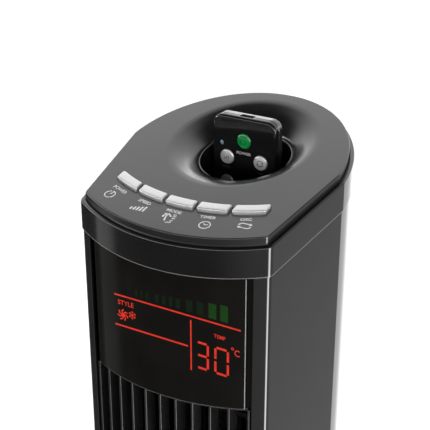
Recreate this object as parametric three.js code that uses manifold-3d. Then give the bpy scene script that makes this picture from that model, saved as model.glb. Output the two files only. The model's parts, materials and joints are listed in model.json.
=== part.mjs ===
// Tower fan with an oscillating tower on a round base, a cross-flow impeller,
// a sloping control head with five push buttons and a docked remote control.
// Units are millimetres. +Z is up, the outlet faces -Y, and the origin is the
// bottom centre of the base, on the axis that the tower turns about.
import * as THREE from "three";
import { mergeVertices } from "three/addons/utils/BufferGeometryUtils.js";
import Module from "manifold-3d";

const wasm = await Module();
wasm.setup();

// ---- driving dimensions ----------------------------------------------------
const GAP = 0.3;
const RAD = Math.PI / 180;

// plan outline of the tower: convex front, straight sides, elliptical back
const HALF_FRONT = 65;
const CORNER_Y = -65.4;
const FRONT_BULGE = 18;
const BACK_A = 76.2;
const BACK_B = 86.3;
const VERTEX_Y = 7.3;
const CORNER_R = 3.2;
const BODY_OUT = 2.4;
const COLLAR_OUT = 3.2;
const WALL = 2.4;

// heights
const PLATE_Z = 968;
const SLOPE = 12 * RAD;
const COLLAR_TOP = -5.2;
const SEAM = -24.4;
const TOWER_BOTTOM = 38;
const SKIRT_TOP = 151.6;
const SHELL_BOTTOM = 152;
const LENS_BOTTOM = PLATE_Z - 117.5;
const LENS_HALF = 57.4;
const OPENING_HALF = 58.2;
const GRIP_HALF = 38;
const GRIP_Y = 58;
const GRIP_FLANGE = 12;

// base
const BASE_R = 150;
const POST_R = 20;
const FLANGE_BOLT = 48;
const INLET_Z = 9.8;
const FOOT_R = 12;
const FOOT_CIRCLE = 122;

// oscillation gears
const MODULE_MM = 2;
const SECTOR_TEETH = 48;
const PINION_TEETH = 12;
const PINION_Y = MODULE_MM * (SECTOR_TEETH + PINION_TEETH) / 2;
const GEAR_Z = 50.6;
const GEAR_H = 5.4;

// blower
const DRUM_Y = 8;
const DRUM_R = 42;
const DRUM_Z = 172;
const SEGMENT_L = 215;
const BLADES = 12;
const BLOWER_FRONT = -56.4;

// control panel, in the tilted frame of the top plate
const BUTTON_RADIUS = 115;
const BUTTON_CENTRE = 58.7;
const BUTTON_STEP = 21.8;
const BUTTON_W = 19.2;
const BUTTON_D = 7.2;
const BUTTON_TRAVEL = 1.2;

// dock and remote control
const DOCK_Y = 22;
const REMOTE_W = 47;
const REMOTE_T = 10.8;
const REMOTE_L = 91;
const REMOTE_Y = 22;
const REMOTE_TOP = PLATE_Z + 34;

// ---- materials ---------------------------------------------------------------
const material = (color, roughness, metalness = 0) =>
  new THREE.MeshStandardMaterial({ color, roughness, metalness });
const GLOSS_BLACK = material(0x0b0b0c, 0.12);
const SATIN_GREY = material(0x3b3b3a, 0.38);
const DARK_PLASTIC = material(0x161617, 0.5);
const SILVER = material(0xd4d5d6, 0.35);
const LENS = material(0x07080a, 0.05);
const STEEL = material(0x9a9c9f, 0.35, 1);
const ZINC = material(0xb4b6b8, 0.45, 1);
const RUBBER = material(0x18181a, 0.85);
const BOARD = material(0x1c5a34, 0.55);
const WHITE_PLASTIC = material(0xe2e1dc, 0.45);
const BRASS = material(0xb08d4c, 0.4, 1);
const GREEN = material(0x0f9a45, 0.25);

// ---- solids ------------------------------------------------------------------
function solid(geometry) {
  const source = geometry.clone();
  source.deleteAttribute("normal");
  source.deleteAttribute("uv");
  const welded = mergeVertices(source, 1e-4);
  const index = welded.index.array;
  const triangles = [];
  for (let i = 0; i < index.length; i += 3) {
    const [a, b, c] = [index[i], index[i + 1], index[i + 2]];
    if (a !== b && b !== c && a !== c) triangles.push(a, b, c);
  }
  return new wasm.Manifold(new wasm.Mesh({
    numProp: 3,
    vertProperties: new Float32Array(welded.attributes.position.array),
    triVerts: new Uint32Array(triangles),
  }));
}

function geometryOf(manifold) {
  const mesh = manifold.getMesh();
  const geometry = new THREE.BufferGeometry();
  geometry.setAttribute("position", new THREE.BufferAttribute(new Float32Array(mesh.vertProperties), 3));
  geometry.setIndex(new THREE.BufferAttribute(new Uint32Array(mesh.triVerts), 1));
  const flat = geometry.toNonIndexed();
  flat.computeVertexNormals();
  return flat;
}

const unite = (list) => list.reduce((sum, item) => sum.add(item));
const points = (list) => list.map(([x, y]) => new THREE.Vector2(x, y));

function prism(outline, z0, z1, holes = []) {
  const shape = new THREE.Shape(points(outline));
  for (const hole of holes) shape.holes.push(new THREE.Path(points(hole)));
  const geometry = new THREE.ExtrudeGeometry(shape, { depth: z1 - z0, bevelEnabled: false });
  return geometry.translate(0, 0, z0);
}

function box(x0, x1, y0, y1, z0, z1) {
  const geometry = new THREE.BoxGeometry(x1 - x0, y1 - y0, z1 - z0);
  return geometry.translate((x0 + x1) / 2, (y0 + y1) / 2, (z0 + z1) / 2);
}

function cylinder(r, z0, z1, x = 0, y = 0, segments = 32) {
  const geometry = new THREE.CylinderGeometry(r, r, z1 - z0, segments);
  return geometry.rotateX(Math.PI / 2).translate(x, y, (z0 + z1) / 2);
}

// revolves a profile of [radius, z] pairs about the vertical axis
function lathe(profile, segments = 48) {
  return new THREE.LatheGeometry(points(profile), segments).rotateX(Math.PI / 2);
}

const tube = (rOut, rIn, z0, z1, segments = 40) =>
  lathe([[rIn, z0], [rOut, z0], [rOut, z1], [rIn, z1], [rIn, z0]], segments);

// rounded section through each level {z, rx, ry, y, n}; n is the squareness
function loft(levels, segments = 36) {
  const first = levels[0];
  const last = levels[levels.length - 1];
  const profile = [[0, first.z], ...levels.map((level) => [1, level.z]), [0, last.z]];
  const geometry = lathe(profile, segments);
  const position = geometry.attributes.position;
  for (let i = 0; i < position.count; i += 1) {
    const z = position.getZ(i);
    const level = levels.find((item) => Math.abs(item.z - z) < 1e-3);
    const x = position.getX(i);
    const y = position.getY(i);
    const bend = (value) => Math.sign(value) * Math.abs(value) ** (2 / level.n);
    position.setX(i, level.rx * bend(x));
    position.setY(i, level.y + level.ry * bend(y));
  }
  return geometry;
}

// raises a level solid onto the slope of the head while its walls stay upright
function onSlope(geometry) {
  const shear = new THREE.Matrix4().set(
    1, 0, 0, 0,
    0, 1, 0, 0,
    0, Math.tan(SLOPE), 1, PLATE_Z - CORNER_Y * Math.tan(SLOPE),
    0, 0, 0, 1,
  );
  return geometry.clone().applyMatrix4(shear);
}

const slopeHeight = (y) => PLATE_Z + (y - CORNER_Y) * Math.tan(SLOPE);

// moves a solid drawn in the tilted frame of the top plate into the row frame
const TILT = new THREE.Matrix4()
  .makeTranslation(0, 0, slopeHeight(0))
  .multiply(new THREE.Matrix4().makeRotationX(SLOPE));
const tilted = (geometry) => geometry.clone().applyMatrix4(TILT);

// ---- plan outline --------------------------------------------------------------
const FRONT_R = (HALF_FRONT ** 2 + FRONT_BULGE ** 2) / (2 * FRONT_BULGE);
const FRONT_CY = CORNER_Y - FRONT_BULGE + FRONT_R;

function frontArc(half, offset, steps) {
  const r = FRONT_R + offset;
  const reach = Math.asin(half / r);
  const list = [];
  for (let i = 0; i <= steps; i += 1) {
    const a = -reach + (2 * reach * i) / steps;
    list.push([r * Math.sin(a), FRONT_CY - r * Math.cos(a)]);
  }
  return list;
}

function backArc(offset, steps, from = Math.asin(VERTEX_Y / BACK_B), to = Math.PI - from) {
  const list = [];
  for (let i = 0; i <= steps; i += 1) {
    const a = from + ((to - from) * i) / steps;
    list.push([(BACK_A + offset) * Math.cos(a), (BACK_B + offset) * Math.sin(a)]);
  }
  return list;
}

// replaces the corner between two edges by a short arc
function roundedCorner(before, corner, after, r, steps = 3) {
  const c = new THREE.Vector2(...corner);
  const u = new THREE.Vector2(...before).sub(c).normalize();
  const v = new THREE.Vector2(...after).sub(c).normalize();
  const half = Math.acos(u.dot(v)) / 2;
  const reach = r / Math.tan(half);
  const centre = c.clone().add(u.clone().add(v).normalize().multiplyScalar(r / Math.sin(half)));
  const start = c.clone().add(u.multiplyScalar(reach)).sub(centre);
  const end = c.clone().add(v.multiplyScalar(reach)).sub(centre);
  const turn = Math.atan2(start.cross(end), start.dot(end));
  const list = [];
  for (let i = 0; i <= steps; i += 1) {
    const p = start.clone().rotateAround(new THREE.Vector2(), (turn * i) / steps).add(centre);
    list.push([p.x, p.y]);
  }
  return list;
}

function outline(offset, backSteps = 22, radius = CORNER_R) {
  const half = HALF_FRONT + offset;
  const arc = frontArc(half, offset * 0.9, 12);
  const back = backArc(offset, backSteps);
  const r = Math.max(radius + offset * 0.6, 0.8);
  const right = roundedCorner(arc[11], arc[12], back[0], r);
  const left = roundedCorner(back[back.length - 1], arc[0], arc[1], r);
  return [...left, ...arc.slice(1, 12), ...right, ...back];
}

// curved strip that follows the front, for grille rails and the display window
function frontStrip(half, outer, inner, steps) {
  return [...frontArc(half, outer, steps), ...frontArc(half, inner, steps).reverse()];
}

const group = new THREE.Group();
group.name = "tower_fan";

function add(name, geometry, mat, parent = group) {
  const mesh = new THREE.Mesh(geometry, mat);
  mesh.name = name;
  parent.add(mesh);
  return mesh;
}

// ---- base ------------------------------------------------------------------------
const coverProfile = [
  [POST_R + 0.5, 31.5], [90, 31.5], [124, 23.6], [145, 14.4], [147.4, 11], [147.4, 3.4],
  [BASE_R, 3.4], [BASE_R, 12], [147.4, 16.6], [126, 26.2], [92, 34], [POST_R + 0.5, 34],
  [POST_R + 0.5, 31.5],
];
const inletHole = new THREE.CylinderGeometry(4, 4, 12, 20).translate(0, BASE_R - 2, INLET_Z);
add("base_cover", geometryOf(solid(lathe(coverProfile, 40)).subtract(solid(inletHole))), GLOSS_BLACK);

const plateSolid = solid(cylinder(146.8, 3.3, 5.3, 0, 0, 40));
const QUARTERS = [45, 135, 225, 315];
const flangeHoles = (z0, z1) => QUARTERS.map((a) =>
  solid(cylinder(2.4, z0, z1, FLANGE_BOLT * Math.cos(a * RAD), FLANGE_BOLT * Math.sin(a * RAD), 12)));
add("base_plate", geometryOf(plateSolid.subtract(unite(flangeHoles(2, 7)))), ZINC);

QUARTERS.forEach((a, i) => {
  const profile = [[0, 0], [FOOT_R - 1, 0], [FOOT_R, 3], [0, 3]];
  const foot = add(`foot_${i + 1}`, lathe(profile, 20), RUBBER);
  foot.position.set(FOOT_CIRCLE * Math.cos(a * RAD), FOOT_CIRCLE * Math.sin(a * RAD), 0);
  const screwProfile = [[0, 1.2], [3, 1.2], [4, 2], [4, 3], [2, 3], [2, 10.5], [0, 10.5]];
  const screw = add(`base_screw_${i + 1}`, lathe(screwProfile, 12), STEEL);
  screw.position.set(FLANGE_BOLT * Math.cos(a * RAD), FLANGE_BOLT * Math.sin(a * RAD), 0);
});

add("ballast_ring", tube(118, 82, 5.6, 17, 36), STEEL);

const postProfile = [
  [15, 5.6], [62, 5.6], [62, 9], [26, 9], [POST_R, 15], [POST_R, 49.8], [17.6, 49.8],
  [17.6, 60], [15, 60], [15, 5.6],
];
add("pivot_post", geometryOf(solid(lathe(postProfile, 28)).subtract(unite(flangeHoles(5, 10)))), ZINC);

add("slip_washer", tube(60, POST_R + 0.6, 34.3, 37.7, 32), WHITE_PLASTIC);

const inlet = lathe([[2.7, 0], [5.4, 0], [5.4, 2], [3.7, 2], [3.7, 6], [2.7, 6], [2.7, 0]], 16);
add("cord_inlet", inlet.rotateX(Math.PI / 2).translate(0, BASE_R + 2.3, INLET_Z), RUBBER);

// ---- oscillation gears --------------------------------------------------------------
// straight-flanked teeth with generous backlash, as moulded gears have
function gearTeeth(teeth, from, to, phase) {
  const pitchR = (MODULE_MM * teeth) / 2;
  const levels = [[pitchR - 2.5, 1.5], [pitchR, 1.2], [pitchR + 1.7, 0.65]];
  const list = [];
  for (let k = from; k <= to; k += 1) {
    const centre = phase + (k * 2 * Math.PI) / teeth;
    for (const [r, w] of levels) list.push([r, centre - w / r]);
    for (const [r, w] of levels.slice().reverse()) list.push([r, centre + w / r]);
  }
  return list.map(([r, a]) => [r * Math.cos(a), r * Math.sin(a)]);
}

function circle(r, segments, x = 0, y = 0) {
  const list = [];
  for (let i = 0; i < segments; i += 1) {
    const a = (2 * Math.PI * i) / segments;
    list.push([x + r * Math.cos(a), y + r * Math.sin(a)]);
  }
  return list;
}

const sectorTeeth = gearTeeth(SECTOR_TEETH, -7, 7, Math.PI / 2);
const sectorHub = [];
for (let i = 0; i <= 12; i += 1) {
  const a = 152 * RAD + (236 * RAD * i) / 12;
  sectorHub.push([27 * Math.cos(a), 27 * Math.sin(a)]);
}
const sectorOutline = [...sectorTeeth, ...sectorHub];
const sectorGear = prism(sectorOutline, GEAR_Z, GEAR_Z + GEAR_H, [circle(17.9, 28).reverse()]);
add("sector_gear", sectorGear, WHITE_PLASTIC);
const nutZ = GEAR_Z + GEAR_H + GAP;
add("post_nut", prism(circle(23, 6), nutZ, nutZ + 3, [circle(17.9, 28).reverse()]), ZINC);

const pinionTeeth = gearTeeth(PINION_TEETH, 0, 11, -Math.PI / 2 + Math.PI / PINION_TEETH);
const pinionSolid = solid(prism(pinionTeeth, GEAR_Z - 0.6, GEAR_Z + GEAR_H + 0.6))
  .add(solid(cylinder(4, GEAR_Z, 68, 0, 0, 20)));
add("osc_pinion", geometryOf(pinionSolid), WHITE_PLASTIC).position.set(0, PINION_Y, 0);

// ---- tower: turntable, skirt and drive ------------------------------------------------
const floorZ = 41.5;
const turntable = unite([
  solid(prism(outline(-1.6), TOWER_BOTTOM, floorZ)),
  solid(cylinder(28, floorZ - 1, 50, 0, 0, 28)),
  solid(cylinder(5, floorZ - 1, 61.7, 30, PINION_Y + 4, 10)),
  solid(cylinder(5, floorZ - 1, 61.7, -30, PINION_Y + 4, 10)),
]).subtract(solid(cylinder(POST_R + 0.5, 30, 60, 0, 0, 28)));
add("turntable", geometryOf(turntable), DARK_PLASTIC);

const skirt = solid(prism(outline(BODY_OUT), TOWER_BOTTOM, SKIRT_TOP, [outline(BODY_OUT - WALL).reverse()]));
add("lower_skirt", geometryOf(skirt), GLOSS_BLACK);

const oscMotor = unite([
  solid(cylinder(22, 62, 82, 0, PINION_Y, 36)),
  solid(box(-34, 34, PINION_Y, PINION_Y + 8, 62, 64)),
]).subtract(solid(cylinder(5, 60, 70, 0, PINION_Y, 20)));
add("oscillation_motor", geometryOf(oscMotor), STEEL);

const mountZ = 156;
const motorMount = solid(prism(outline(-0.6), mountZ, mountZ + 4))
  .subtract(solid(box(-70, 70, -100, BLOWER_FRONT, mountZ - 2, mountZ + 8)))
  .subtract(solid(cylinder(13, mountZ - 2, mountZ + 8, 0, DRUM_Y, 32)));
add("motor_mount", geometryOf(motorMount), DARK_PLASTIC);

const motorProfile = [
  [5.2, 96], [18, 96], [18, 102], [39, 106], [39, 146], [12, 150], [12, 155.7], [5.2, 155.7],
  [5.2, 96],
];
add("main_motor", lathe(motorProfile, 32), STEEL).position.set(0, DRUM_Y, 0);
add("run_capacitor", box(-20, 20, -62, -44, 126, 155.6), DARK_PLASTIC);

// ---- tower: shell and grilles -----------------------------------------------------------
const shellTop = SEAM - GAP;
const levelTop = (z, y = 0) => z - PLATE_Z + (CORNER_Y - y) * Math.tan(SLOPE);

function cutToSlope(manifold, height) {
  const above = prism([[-120, -120], [120, -120], [120, 120], [-120, 120]], height, height + 200);
  return manifold.subtract(solid(onSlope(above)));
}

const gripZ = [884, 918];
const windowFrom = 32 * RAD;
const windowTo = Math.PI - windowFrom;
const windowZ = [186, 846];
const windowOuter = backArc(20, 16, windowFrom, windowTo);
const windowCut = [...windowOuter, ...backArc(-20, 16, windowFrom, windowTo).reverse()];
let shell = solid(prism(outline(BODY_OUT), SHELL_BOTTOM, 1010, [outline(BODY_OUT - WALL).reverse()]));
shell = shell.subtract(solid(box(-OPENING_HALF - 0.6, OPENING_HALF + 0.6, -120, -52, 140, 1020)));
shell = cutToSlope(shell, shellTop).subtract(solid(prism(windowCut, ...windowZ)));
const flangeHalf = GRIP_HALF + GRIP_FLANGE;
const flangeZ = [gripZ[0] - GRIP_FLANGE, gripZ[1] + GRIP_FLANGE];
const flangeCut = box(-flangeHalf - GAP, flangeHalf + GAP, 50, 100, flangeZ[0] - GAP, flangeZ[1] + GAP);
shell = shell.subtract(solid(flangeCut));
add("rear_shell", geometryOf(shell), GLOSS_BLACK);

// recessed hand grip with a flange that fills the opening in the shell
const flange = solid(prism(outline(BODY_OUT), ...flangeZ, [outline(BODY_OUT - WALL).reverse()]))
  .intersect(solid(box(-flangeHalf, flangeHalf, 50, 100, ...flangeZ)));
const pocketOuter = solid(prism(outline(BODY_OUT - 0.4), gripZ[0] - 2, gripZ[1] + 2))
  .intersect(solid(box(-GRIP_HALF - 2, GRIP_HALF + 2, GRIP_Y - 2, 100, 870, 930)));
const pocketInner = solid(box(-GRIP_HALF, GRIP_HALF, GRIP_Y, 100, ...gripZ));
add("handle_pocket", geometryOf(flange.add(pocketOuter).subtract(pocketInner)), DARK_PLASTIC);

const railOut = BODY_OUT - 0.3;
const railIn = railOut - 2.6;
const inFrom = windowFrom + 0.6 * RAD;
const inTo = Math.PI - inFrom;
const hoop = (z0, z1, outer, inner) =>
  solid(prism([...backArc(outer, 8, inFrom, inTo), ...backArc(inner, 8, inFrom, inTo).reverse()], z0, z1));
const intake = [];
const intakeZ = [windowZ[0] + 0.5, windowZ[1] - 0.5];
intake.push(hoop(intakeZ[0], intakeZ[0] + 6, railOut, railIn));
intake.push(hoop(intakeZ[1] - 6, intakeZ[1], railOut, railIn));
for (let i = 1; i < 3; i += 1) {
  const z = intakeZ[0] + ((intakeZ[1] - intakeZ[0]) * i) / 3;
  intake.push(hoop(z - 1.2, z + 1.2, railOut - 1.6, railIn - 1));
}
const BARS = 17;
for (let i = 0; i < BARS; i += 1) {
  const a = inFrom + ((inTo - inFrom) * i) / (BARS - 1);
  const edge = i === 0 || i === BARS - 1;
  const w = edge ? 4 : 1.8;
  const shift = edge ? (i === 0 ? 2 : -2) : 0;
  const turn = Math.atan2((BACK_B + 1) * Math.cos(a), -(BACK_A + 1) * Math.sin(a));
  const bar = box(-w / 2, w / 2, -2.4, 0, ...intakeZ);
  bar.translate(-shift, 0, 0).rotateZ(turn - Math.PI);
  bar.translate((BACK_A + railOut - 0.1) * Math.cos(a), (BACK_B + railOut - 0.1) * Math.sin(a), 0);
  intake.push(solid(bar));
}
add("rear_grille", geometryOf(unite(intake)), DARK_PLASTIC);

const grilleZ = [160, LENS_BOTTOM - 0.5];
const SLATS = 11;
const SLAT_STEP = 11.3;
const outlet = [
  solid(prism(frontStrip(OPENING_HALF, 1, -9, 8), grilleZ[0] - 7.6, grilleZ[0])),
  solid(prism(frontStrip(OPENING_HALF, -1.4, -9, 8), grilleZ[1] - 2, grilleZ[1])),
];
for (let i = 1; i < 4; i += 1) {
  const z = grilleZ[0] + ((grilleZ[1] - grilleZ[0]) * i) / 4;
  outlet.push(solid(prism(frontStrip(OPENING_HALF, -7, -10.5, 4), z - 1, z + 1)));
}
for (let i = 0; i < SLATS; i += 1) {
  const x = (i - (SLATS - 1) / 2) * SLAT_STEP;
  const y = FRONT_CY - Math.sqrt((FRONT_R + 0.6) ** 2 - x * x);
  outlet.push(solid(box(x - 0.8, x + 0.8, y, y + 10.5, grilleZ[0] - 1, grilleZ[1])));
}
add("front_grille", geometryOf(unite(outlet)), DARK_PLASTIC);

// ---- tower: blower ------------------------------------------------------------------------
const blowerZ = [mountZ + 4 + GAP, 832];
const spiral = [];
for (let i = 0; i <= 14; i += 1) {
  const a = (205 - i * 11) * RAD;
  const r = 58 - i * 0.85;
  spiral.push([r * Math.cos(a), DRUM_Y + r * Math.sin(a)]);
}
const spiralLine = [[-54, -55.5], [-57, -38], ...spiral];

function strip(line, thickness) {
  const left = [];
  const right = [];
  line.forEach(([x, y], i) => {
    const a = line[Math.max(i - 1, 0)];
    const b = line[Math.min(i + 1, line.length - 1)];
    const length = Math.hypot(b[0] - a[0], b[1] - a[1]);
    const nx = (-(b[1] - a[1]) / length) * (thickness / 2);
    const ny = ((b[0] - a[0]) / length) * (thickness / 2);
    left.push([x + nx, y + ny]);
    right.push([x - nx, y - ny]);
  });
  return [...right, ...left.reverse()];
}

add("scroll_wall", prism(strip(spiralLine.slice(0, 13), 2), ...blowerZ), DARK_PLASTIC);
const cutoffLine = [[52, -55.5], [47, -46], [43.5, -33], [44.5, -24], [50, -16], [58, -10]];
add("cutoff_wall", prism(strip(cutoffLine, 2), ...blowerZ), DARK_PLASTIC);

const ceilingZ = 832 + GAP;
const ceiling = solid(prism(outline(-0.6), ceilingZ, ceilingZ + 3))
  .subtract(solid(box(-70, 70, -100, BLOWER_FRONT, 820, 850)))
  .subtract(solid(cylinder(11.3, 820, 850, 0, DRUM_Y, 32)));
add("blower_ceiling", geometryOf(ceiling), DARK_PLASTIC);
const bearingProfile = [
  [4.1, ceilingZ - 1], [11, ceilingZ - 1], [11, ceilingZ + 3.3], [15, ceilingZ + 3.3],
  [15, ceilingZ + 6], [4.1, ceilingZ + 6], [4.1, ceilingZ - 1],
];
add("top_bearing", lathe(bearingProfile, 24), RUBBER).position.set(0, DRUM_Y, 0);

// ---- impeller -------------------------------------------------------------------------------
function drumSegment(z0, z1) {
  const ring = (z) => solid(tube(DRUM_R, 9, z, z + 1.6, 24));
  const parts = [ring(z0), ring(z1 - 1.6)];
  for (let i = 0; i < BLADES; i += 1) {
    const a = (2 * Math.PI * i) / BLADES;
    const blade = box(-5, 5, -0.7, 0.7, z0, z1).rotateZ(38 * RAD).translate(36.2, 0, 0).rotateZ(a);
    parts.push(solid(blade));
  }
  return geometryOf(unite(parts));
}

for (let i = 0; i < 3; i += 1) {
  const z0 = DRUM_Z + i * (SEGMENT_L + GAP);
  add(`drum_${i + 1}`, drumSegment(z0, z0 + SEGMENT_L), DARK_PLASTIC).position.set(0, DRUM_Y, 0);
}
const drumTop = DRUM_Z + 3 * SEGMENT_L + 2 * GAP;
const shaftProfile = [
  [0, 92], [4, 92], [4, 162], [8.7, 162], [8.7, drumTop + 3], [4, drumTop + 3],
  [4, ceilingZ + 8], [0, ceilingZ + 8],
];
add("impeller_shaft", lathe(shaftProfile, 20), STEEL).position.set(0, DRUM_Y, 0);

// ---- head -----------------------------------------------------------------------------------
const collarOuter = prism(outline(COLLAR_OUT), SEAM, COLLAR_TOP, [outline(COLLAR_OUT - 3).reverse()]);
const collarLip = prism(outline(COLLAR_OUT - 1), SEAM, SEAM + 2.5, [outline(-4).reverse()]);
const collar = solid(onSlope(collarOuter)).add(solid(onSlope(collarLip)));
add("head_collar", geometryOf(collar), GLOSS_BLACK);

// funnel that leads down into the remote dock
const mouth = { rx: 30, ry: 29.5, y: DOCK_Y + 3, n: 2.1 };
const funnelLevels = [
  { z: 4, rx: 49.5, ry: 54.5, y: DOCK_Y, n: 2 },
  { z: 0, rx: 48.5, ry: 53.5, y: DOCK_Y, n: 2 },
  { z: -1.3, rx: 44.5, ry: 48.5, y: DOCK_Y + 0.4, n: 2 },
  { z: -4, rx: 39.5, ry: 42, y: DOCK_Y + 1, n: 2 },
  { z: -8, rx: 34.5, ry: 35.5, y: DOCK_Y + 2, n: 2 },
  { z: -11.5, rx: 31.4, ry: 31.4, y: DOCK_Y + 2.7, n: 2.05 },
  { z: -15, ...mouth },
];
const thicken = (level, z) => ({ ...level, z, rx: level.rx + 2, ry: level.ry + 2 });
const funnelOuter = funnelLevels.slice(1).map((level) => thicken(level, level.z - 1.6));
funnelOuter[0].z = -1;
funnelOuter[funnelOuter.length - 1].z = -15;
funnelOuter[funnelOuter.length - 2].z = -12.6;
const funnelVoid = [...funnelLevels].reverse();
funnelVoid[0] = { ...mouth, z: -16 };

// each button is a slice of one curved band, cut by lines that run front to back
function buttonShape(k, grow) {
  const list = [];
  for (const [side, steps] of [[1, 4], [-1, 4]]) {
    const r = BUTTON_RADIUS + side * (BUTTON_D / 2 + grow);
    for (let i = 0; i <= steps; i += 1) {
      const x = k * BUTTON_STEP + side * (BUTTON_W / 2 + grow) * ((2 * i) / steps - 1);
      list.push([x, -Math.sqrt(r * r - x * x)]);
    }
  }
  return list;
}

const BUTTON_NAMES = ["power", "speed", "mode", "timer", "swing"];
const buttonX = BUTTON_NAMES.map((name, i) => (i - 2) * BUTTON_STEP);
const bandY = (x) => -Math.sqrt(BUTTON_RADIUS ** 2 - x * x);
const slots = BUTTON_NAMES.map((name, i) =>
  solid(tilted(prism(buttonShape(i - 2, 0.5), -12, 8).translate(0, BUTTON_CENTRE, 0))));

const plateBody = solid(onSlope(prism(outline(0), -3, 0)));
const plateSkirt = solid(onSlope(prism(outline(0), -6.8, -2.9, [outline(-2.4).reverse()])));
const topPlate = plateBody.add(plateSkirt)
  .add(solid(onSlope(loft([...funnelOuter].reverse(), 26))))
  .subtract(solid(onSlope(loft(funnelVoid, 26))))
  .subtract(unite(slots));
add("top_plate", geometryOf(topPlate), SATIN_GREY);

// pocket under the funnel; the remote stands on its floor
const dockFloor = REMOTE_TOP - REMOTE_L;
const dockTop = -15 - GAP;
const pocketLevels = (grow, bottom, top) => [
  { z: bottom, rx: 25.2 + grow, ry: 10.2 + grow, y: DOCK_Y + 5, n: 4 },
  { z: -52, rx: 25.8 + grow, ry: 14 + grow, y: DOCK_Y + 4.4, n: 3.6 },
  { z: -30, rx: 28.4 + grow, ry: 24.5 + grow, y: DOCK_Y + 3, n: 2.8 },
  { z: top, rx: mouth.rx + grow, ry: mouth.ry + grow, y: mouth.y, n: mouth.n },
];
const pocketBottom = levelTop(dockFloor, DOCK_Y + 9) - 3;
const dock = solid(onSlope(loft(pocketLevels(2, pocketBottom - 3, dockTop), 28)))
  .subtract(solid(onSlope(loft(pocketLevels(0, pocketBottom - 0.2, dockTop + 2), 28))))
  .add(solid(box(-23.8, 23.8, DOCK_Y - 2, DOCK_Y + 12, dockFloor - 8, dockFloor - GAP)));
add("remote_dock", geometryOf(dock), GLOSS_BLACK);

// display window with its board
const lensBand = prism(frontStrip(LENS_HALF, 1, -1.6, 16), LENS_BOTTOM, 1000);
add("display_lens", geometryOf(cutToSlope(solid(lensBand), SEAM - 0.5)), LENS);
const displayBoard = unite([
  solid(box(-48, 48, -66.4, -64.8, 856, 930)),
  solid(box(-38, 42, -72.5, -66.3, 870, 924)),
]);
add("display_board", geometryOf(displayBoard), BOARD);

// ---- control panel, built in the tilted frame ---------------------------------------------
const panel = new THREE.Group();
panel.name = "control_panel";
panel.position.set(0, 0, slopeHeight(0));
panel.rotation.x = SLOPE;
group.add(panel);

const SWITCH_TOP = -8;
BUTTON_NAMES.forEach((name, i) => {
  const shape = new THREE.Shape(points(buttonShape(i - 2, -0.8)));
  const cap = new THREE.ExtrudeGeometry(shape, {
    depth: 5.4, bevelEnabled: true, bevelThickness: 0.8, bevelSize: 0.8, bevelSegments: 1,
  });
  cap.translate(0, 0, -3.7);
  const stem = cylinder(1.8, SWITCH_TOP + BUTTON_TRAVEL + 0.2, -4, buttonX[i], bandY(buttonX[i]), 12);
  const button = add(`button_${name}`, geometryOf(solid(cap).add(solid(stem))), SILVER, panel);
  button.position.set(0, BUTTON_CENTRE, 0);
});

const boardOutline = [];
const boardReach = 26;
for (let i = 0; i <= 8; i += 1) {
  const a = boardReach * ((2 * i) / 8 - 1) * RAD;
  boardOutline.push([(BUTTON_RADIUS + 6) * Math.sin(a), -(BUTTON_RADIUS + 6) * Math.cos(a)]);
}
for (let i = 8; i >= 0; i -= 1) {
  const a = boardReach * ((2 * i) / 8 - 1) * RAD;
  boardOutline.push([(BUTTON_RADIUS - 8) * Math.sin(a), -(BUTTON_RADIUS - 8) * Math.cos(a)]);
}
const keyBoard = [solid(prism(boardOutline, -13, -11.4))];
buttonX.forEach((x) => {
  keyBoard.push(solid(box(x - 3, x + 3, bandY(x) - 3, bandY(x) + 3, -11.6, SWITCH_TOP)));
});
add("key_board", geometryOf(unite(keyBoard)), BOARD, panel).position.set(0, BUTTON_CENTRE, 0);

// ---- remote control -------------------------------------------------------------------------
const handset = new THREE.Group();
handset.name = "remote_control";
handset.position.set(0, REMOTE_Y, dockFloor);
group.add(handset);

function roundedRect(w, h, r, x = 0, y = 0, steps = 4) {
  const list = [];
  [[1, 1, 0], [-1, 1, 90], [-1, -1, 180], [1, -1, 270]].forEach(([sx, sy, start]) => {
    for (let i = 0; i <= steps; i += 1) {
      const a = (start + (90 * i) / steps) * RAD;
      list.push([x + sx * (w / 2 - r) + r * Math.cos(a), y + sy * (h / 2 - r) + r * Math.sin(a)]);
    }
  });
  return list;
}

// extrudes an outline drawn in X and Z through the depth y0 to y1
const slab = (shape, y0, y1, holes = []) =>
  prism(shape, 0, y1 - y0, holes).rotateX(Math.PI / 2).translate(0, y1, 0);

const remoteOutline = roundedRect(REMOTE_W, REMOTE_L, 7, 0, REMOTE_L / 2);
const KEY_R = 5.2;
const KEYS = [
  ["power", 0, 75, GREEN], ["speed", -12.6, 62, SILVER], ["swing", 12.6, 62, SILVER],
  ["mode", -12.6, 44, SILVER], ["timer", 12.6, 44, SILVER],
];
const keyHoles = KEYS.map(([, x, z]) => circle(KEY_R + 0.4, 16, x, z).reverse());
const irSlot = solid(box(-4.4, 4.4, 4.3, 6.1, REMOTE_L - 6, REMOTE_L + 1));
const front = solid(slab(remoteOutline, 0, 4.6, keyHoles)).subtract(
  solid(slab(roundedRect(REMOTE_W - 3.6, REMOTE_L - 3.6, 5.4, 0, REMOTE_L / 2), 2.4, 5)),
);
add("remote_front", geometryOf(front.subtract(irSlot)), GLOSS_BLACK, handset);

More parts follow.
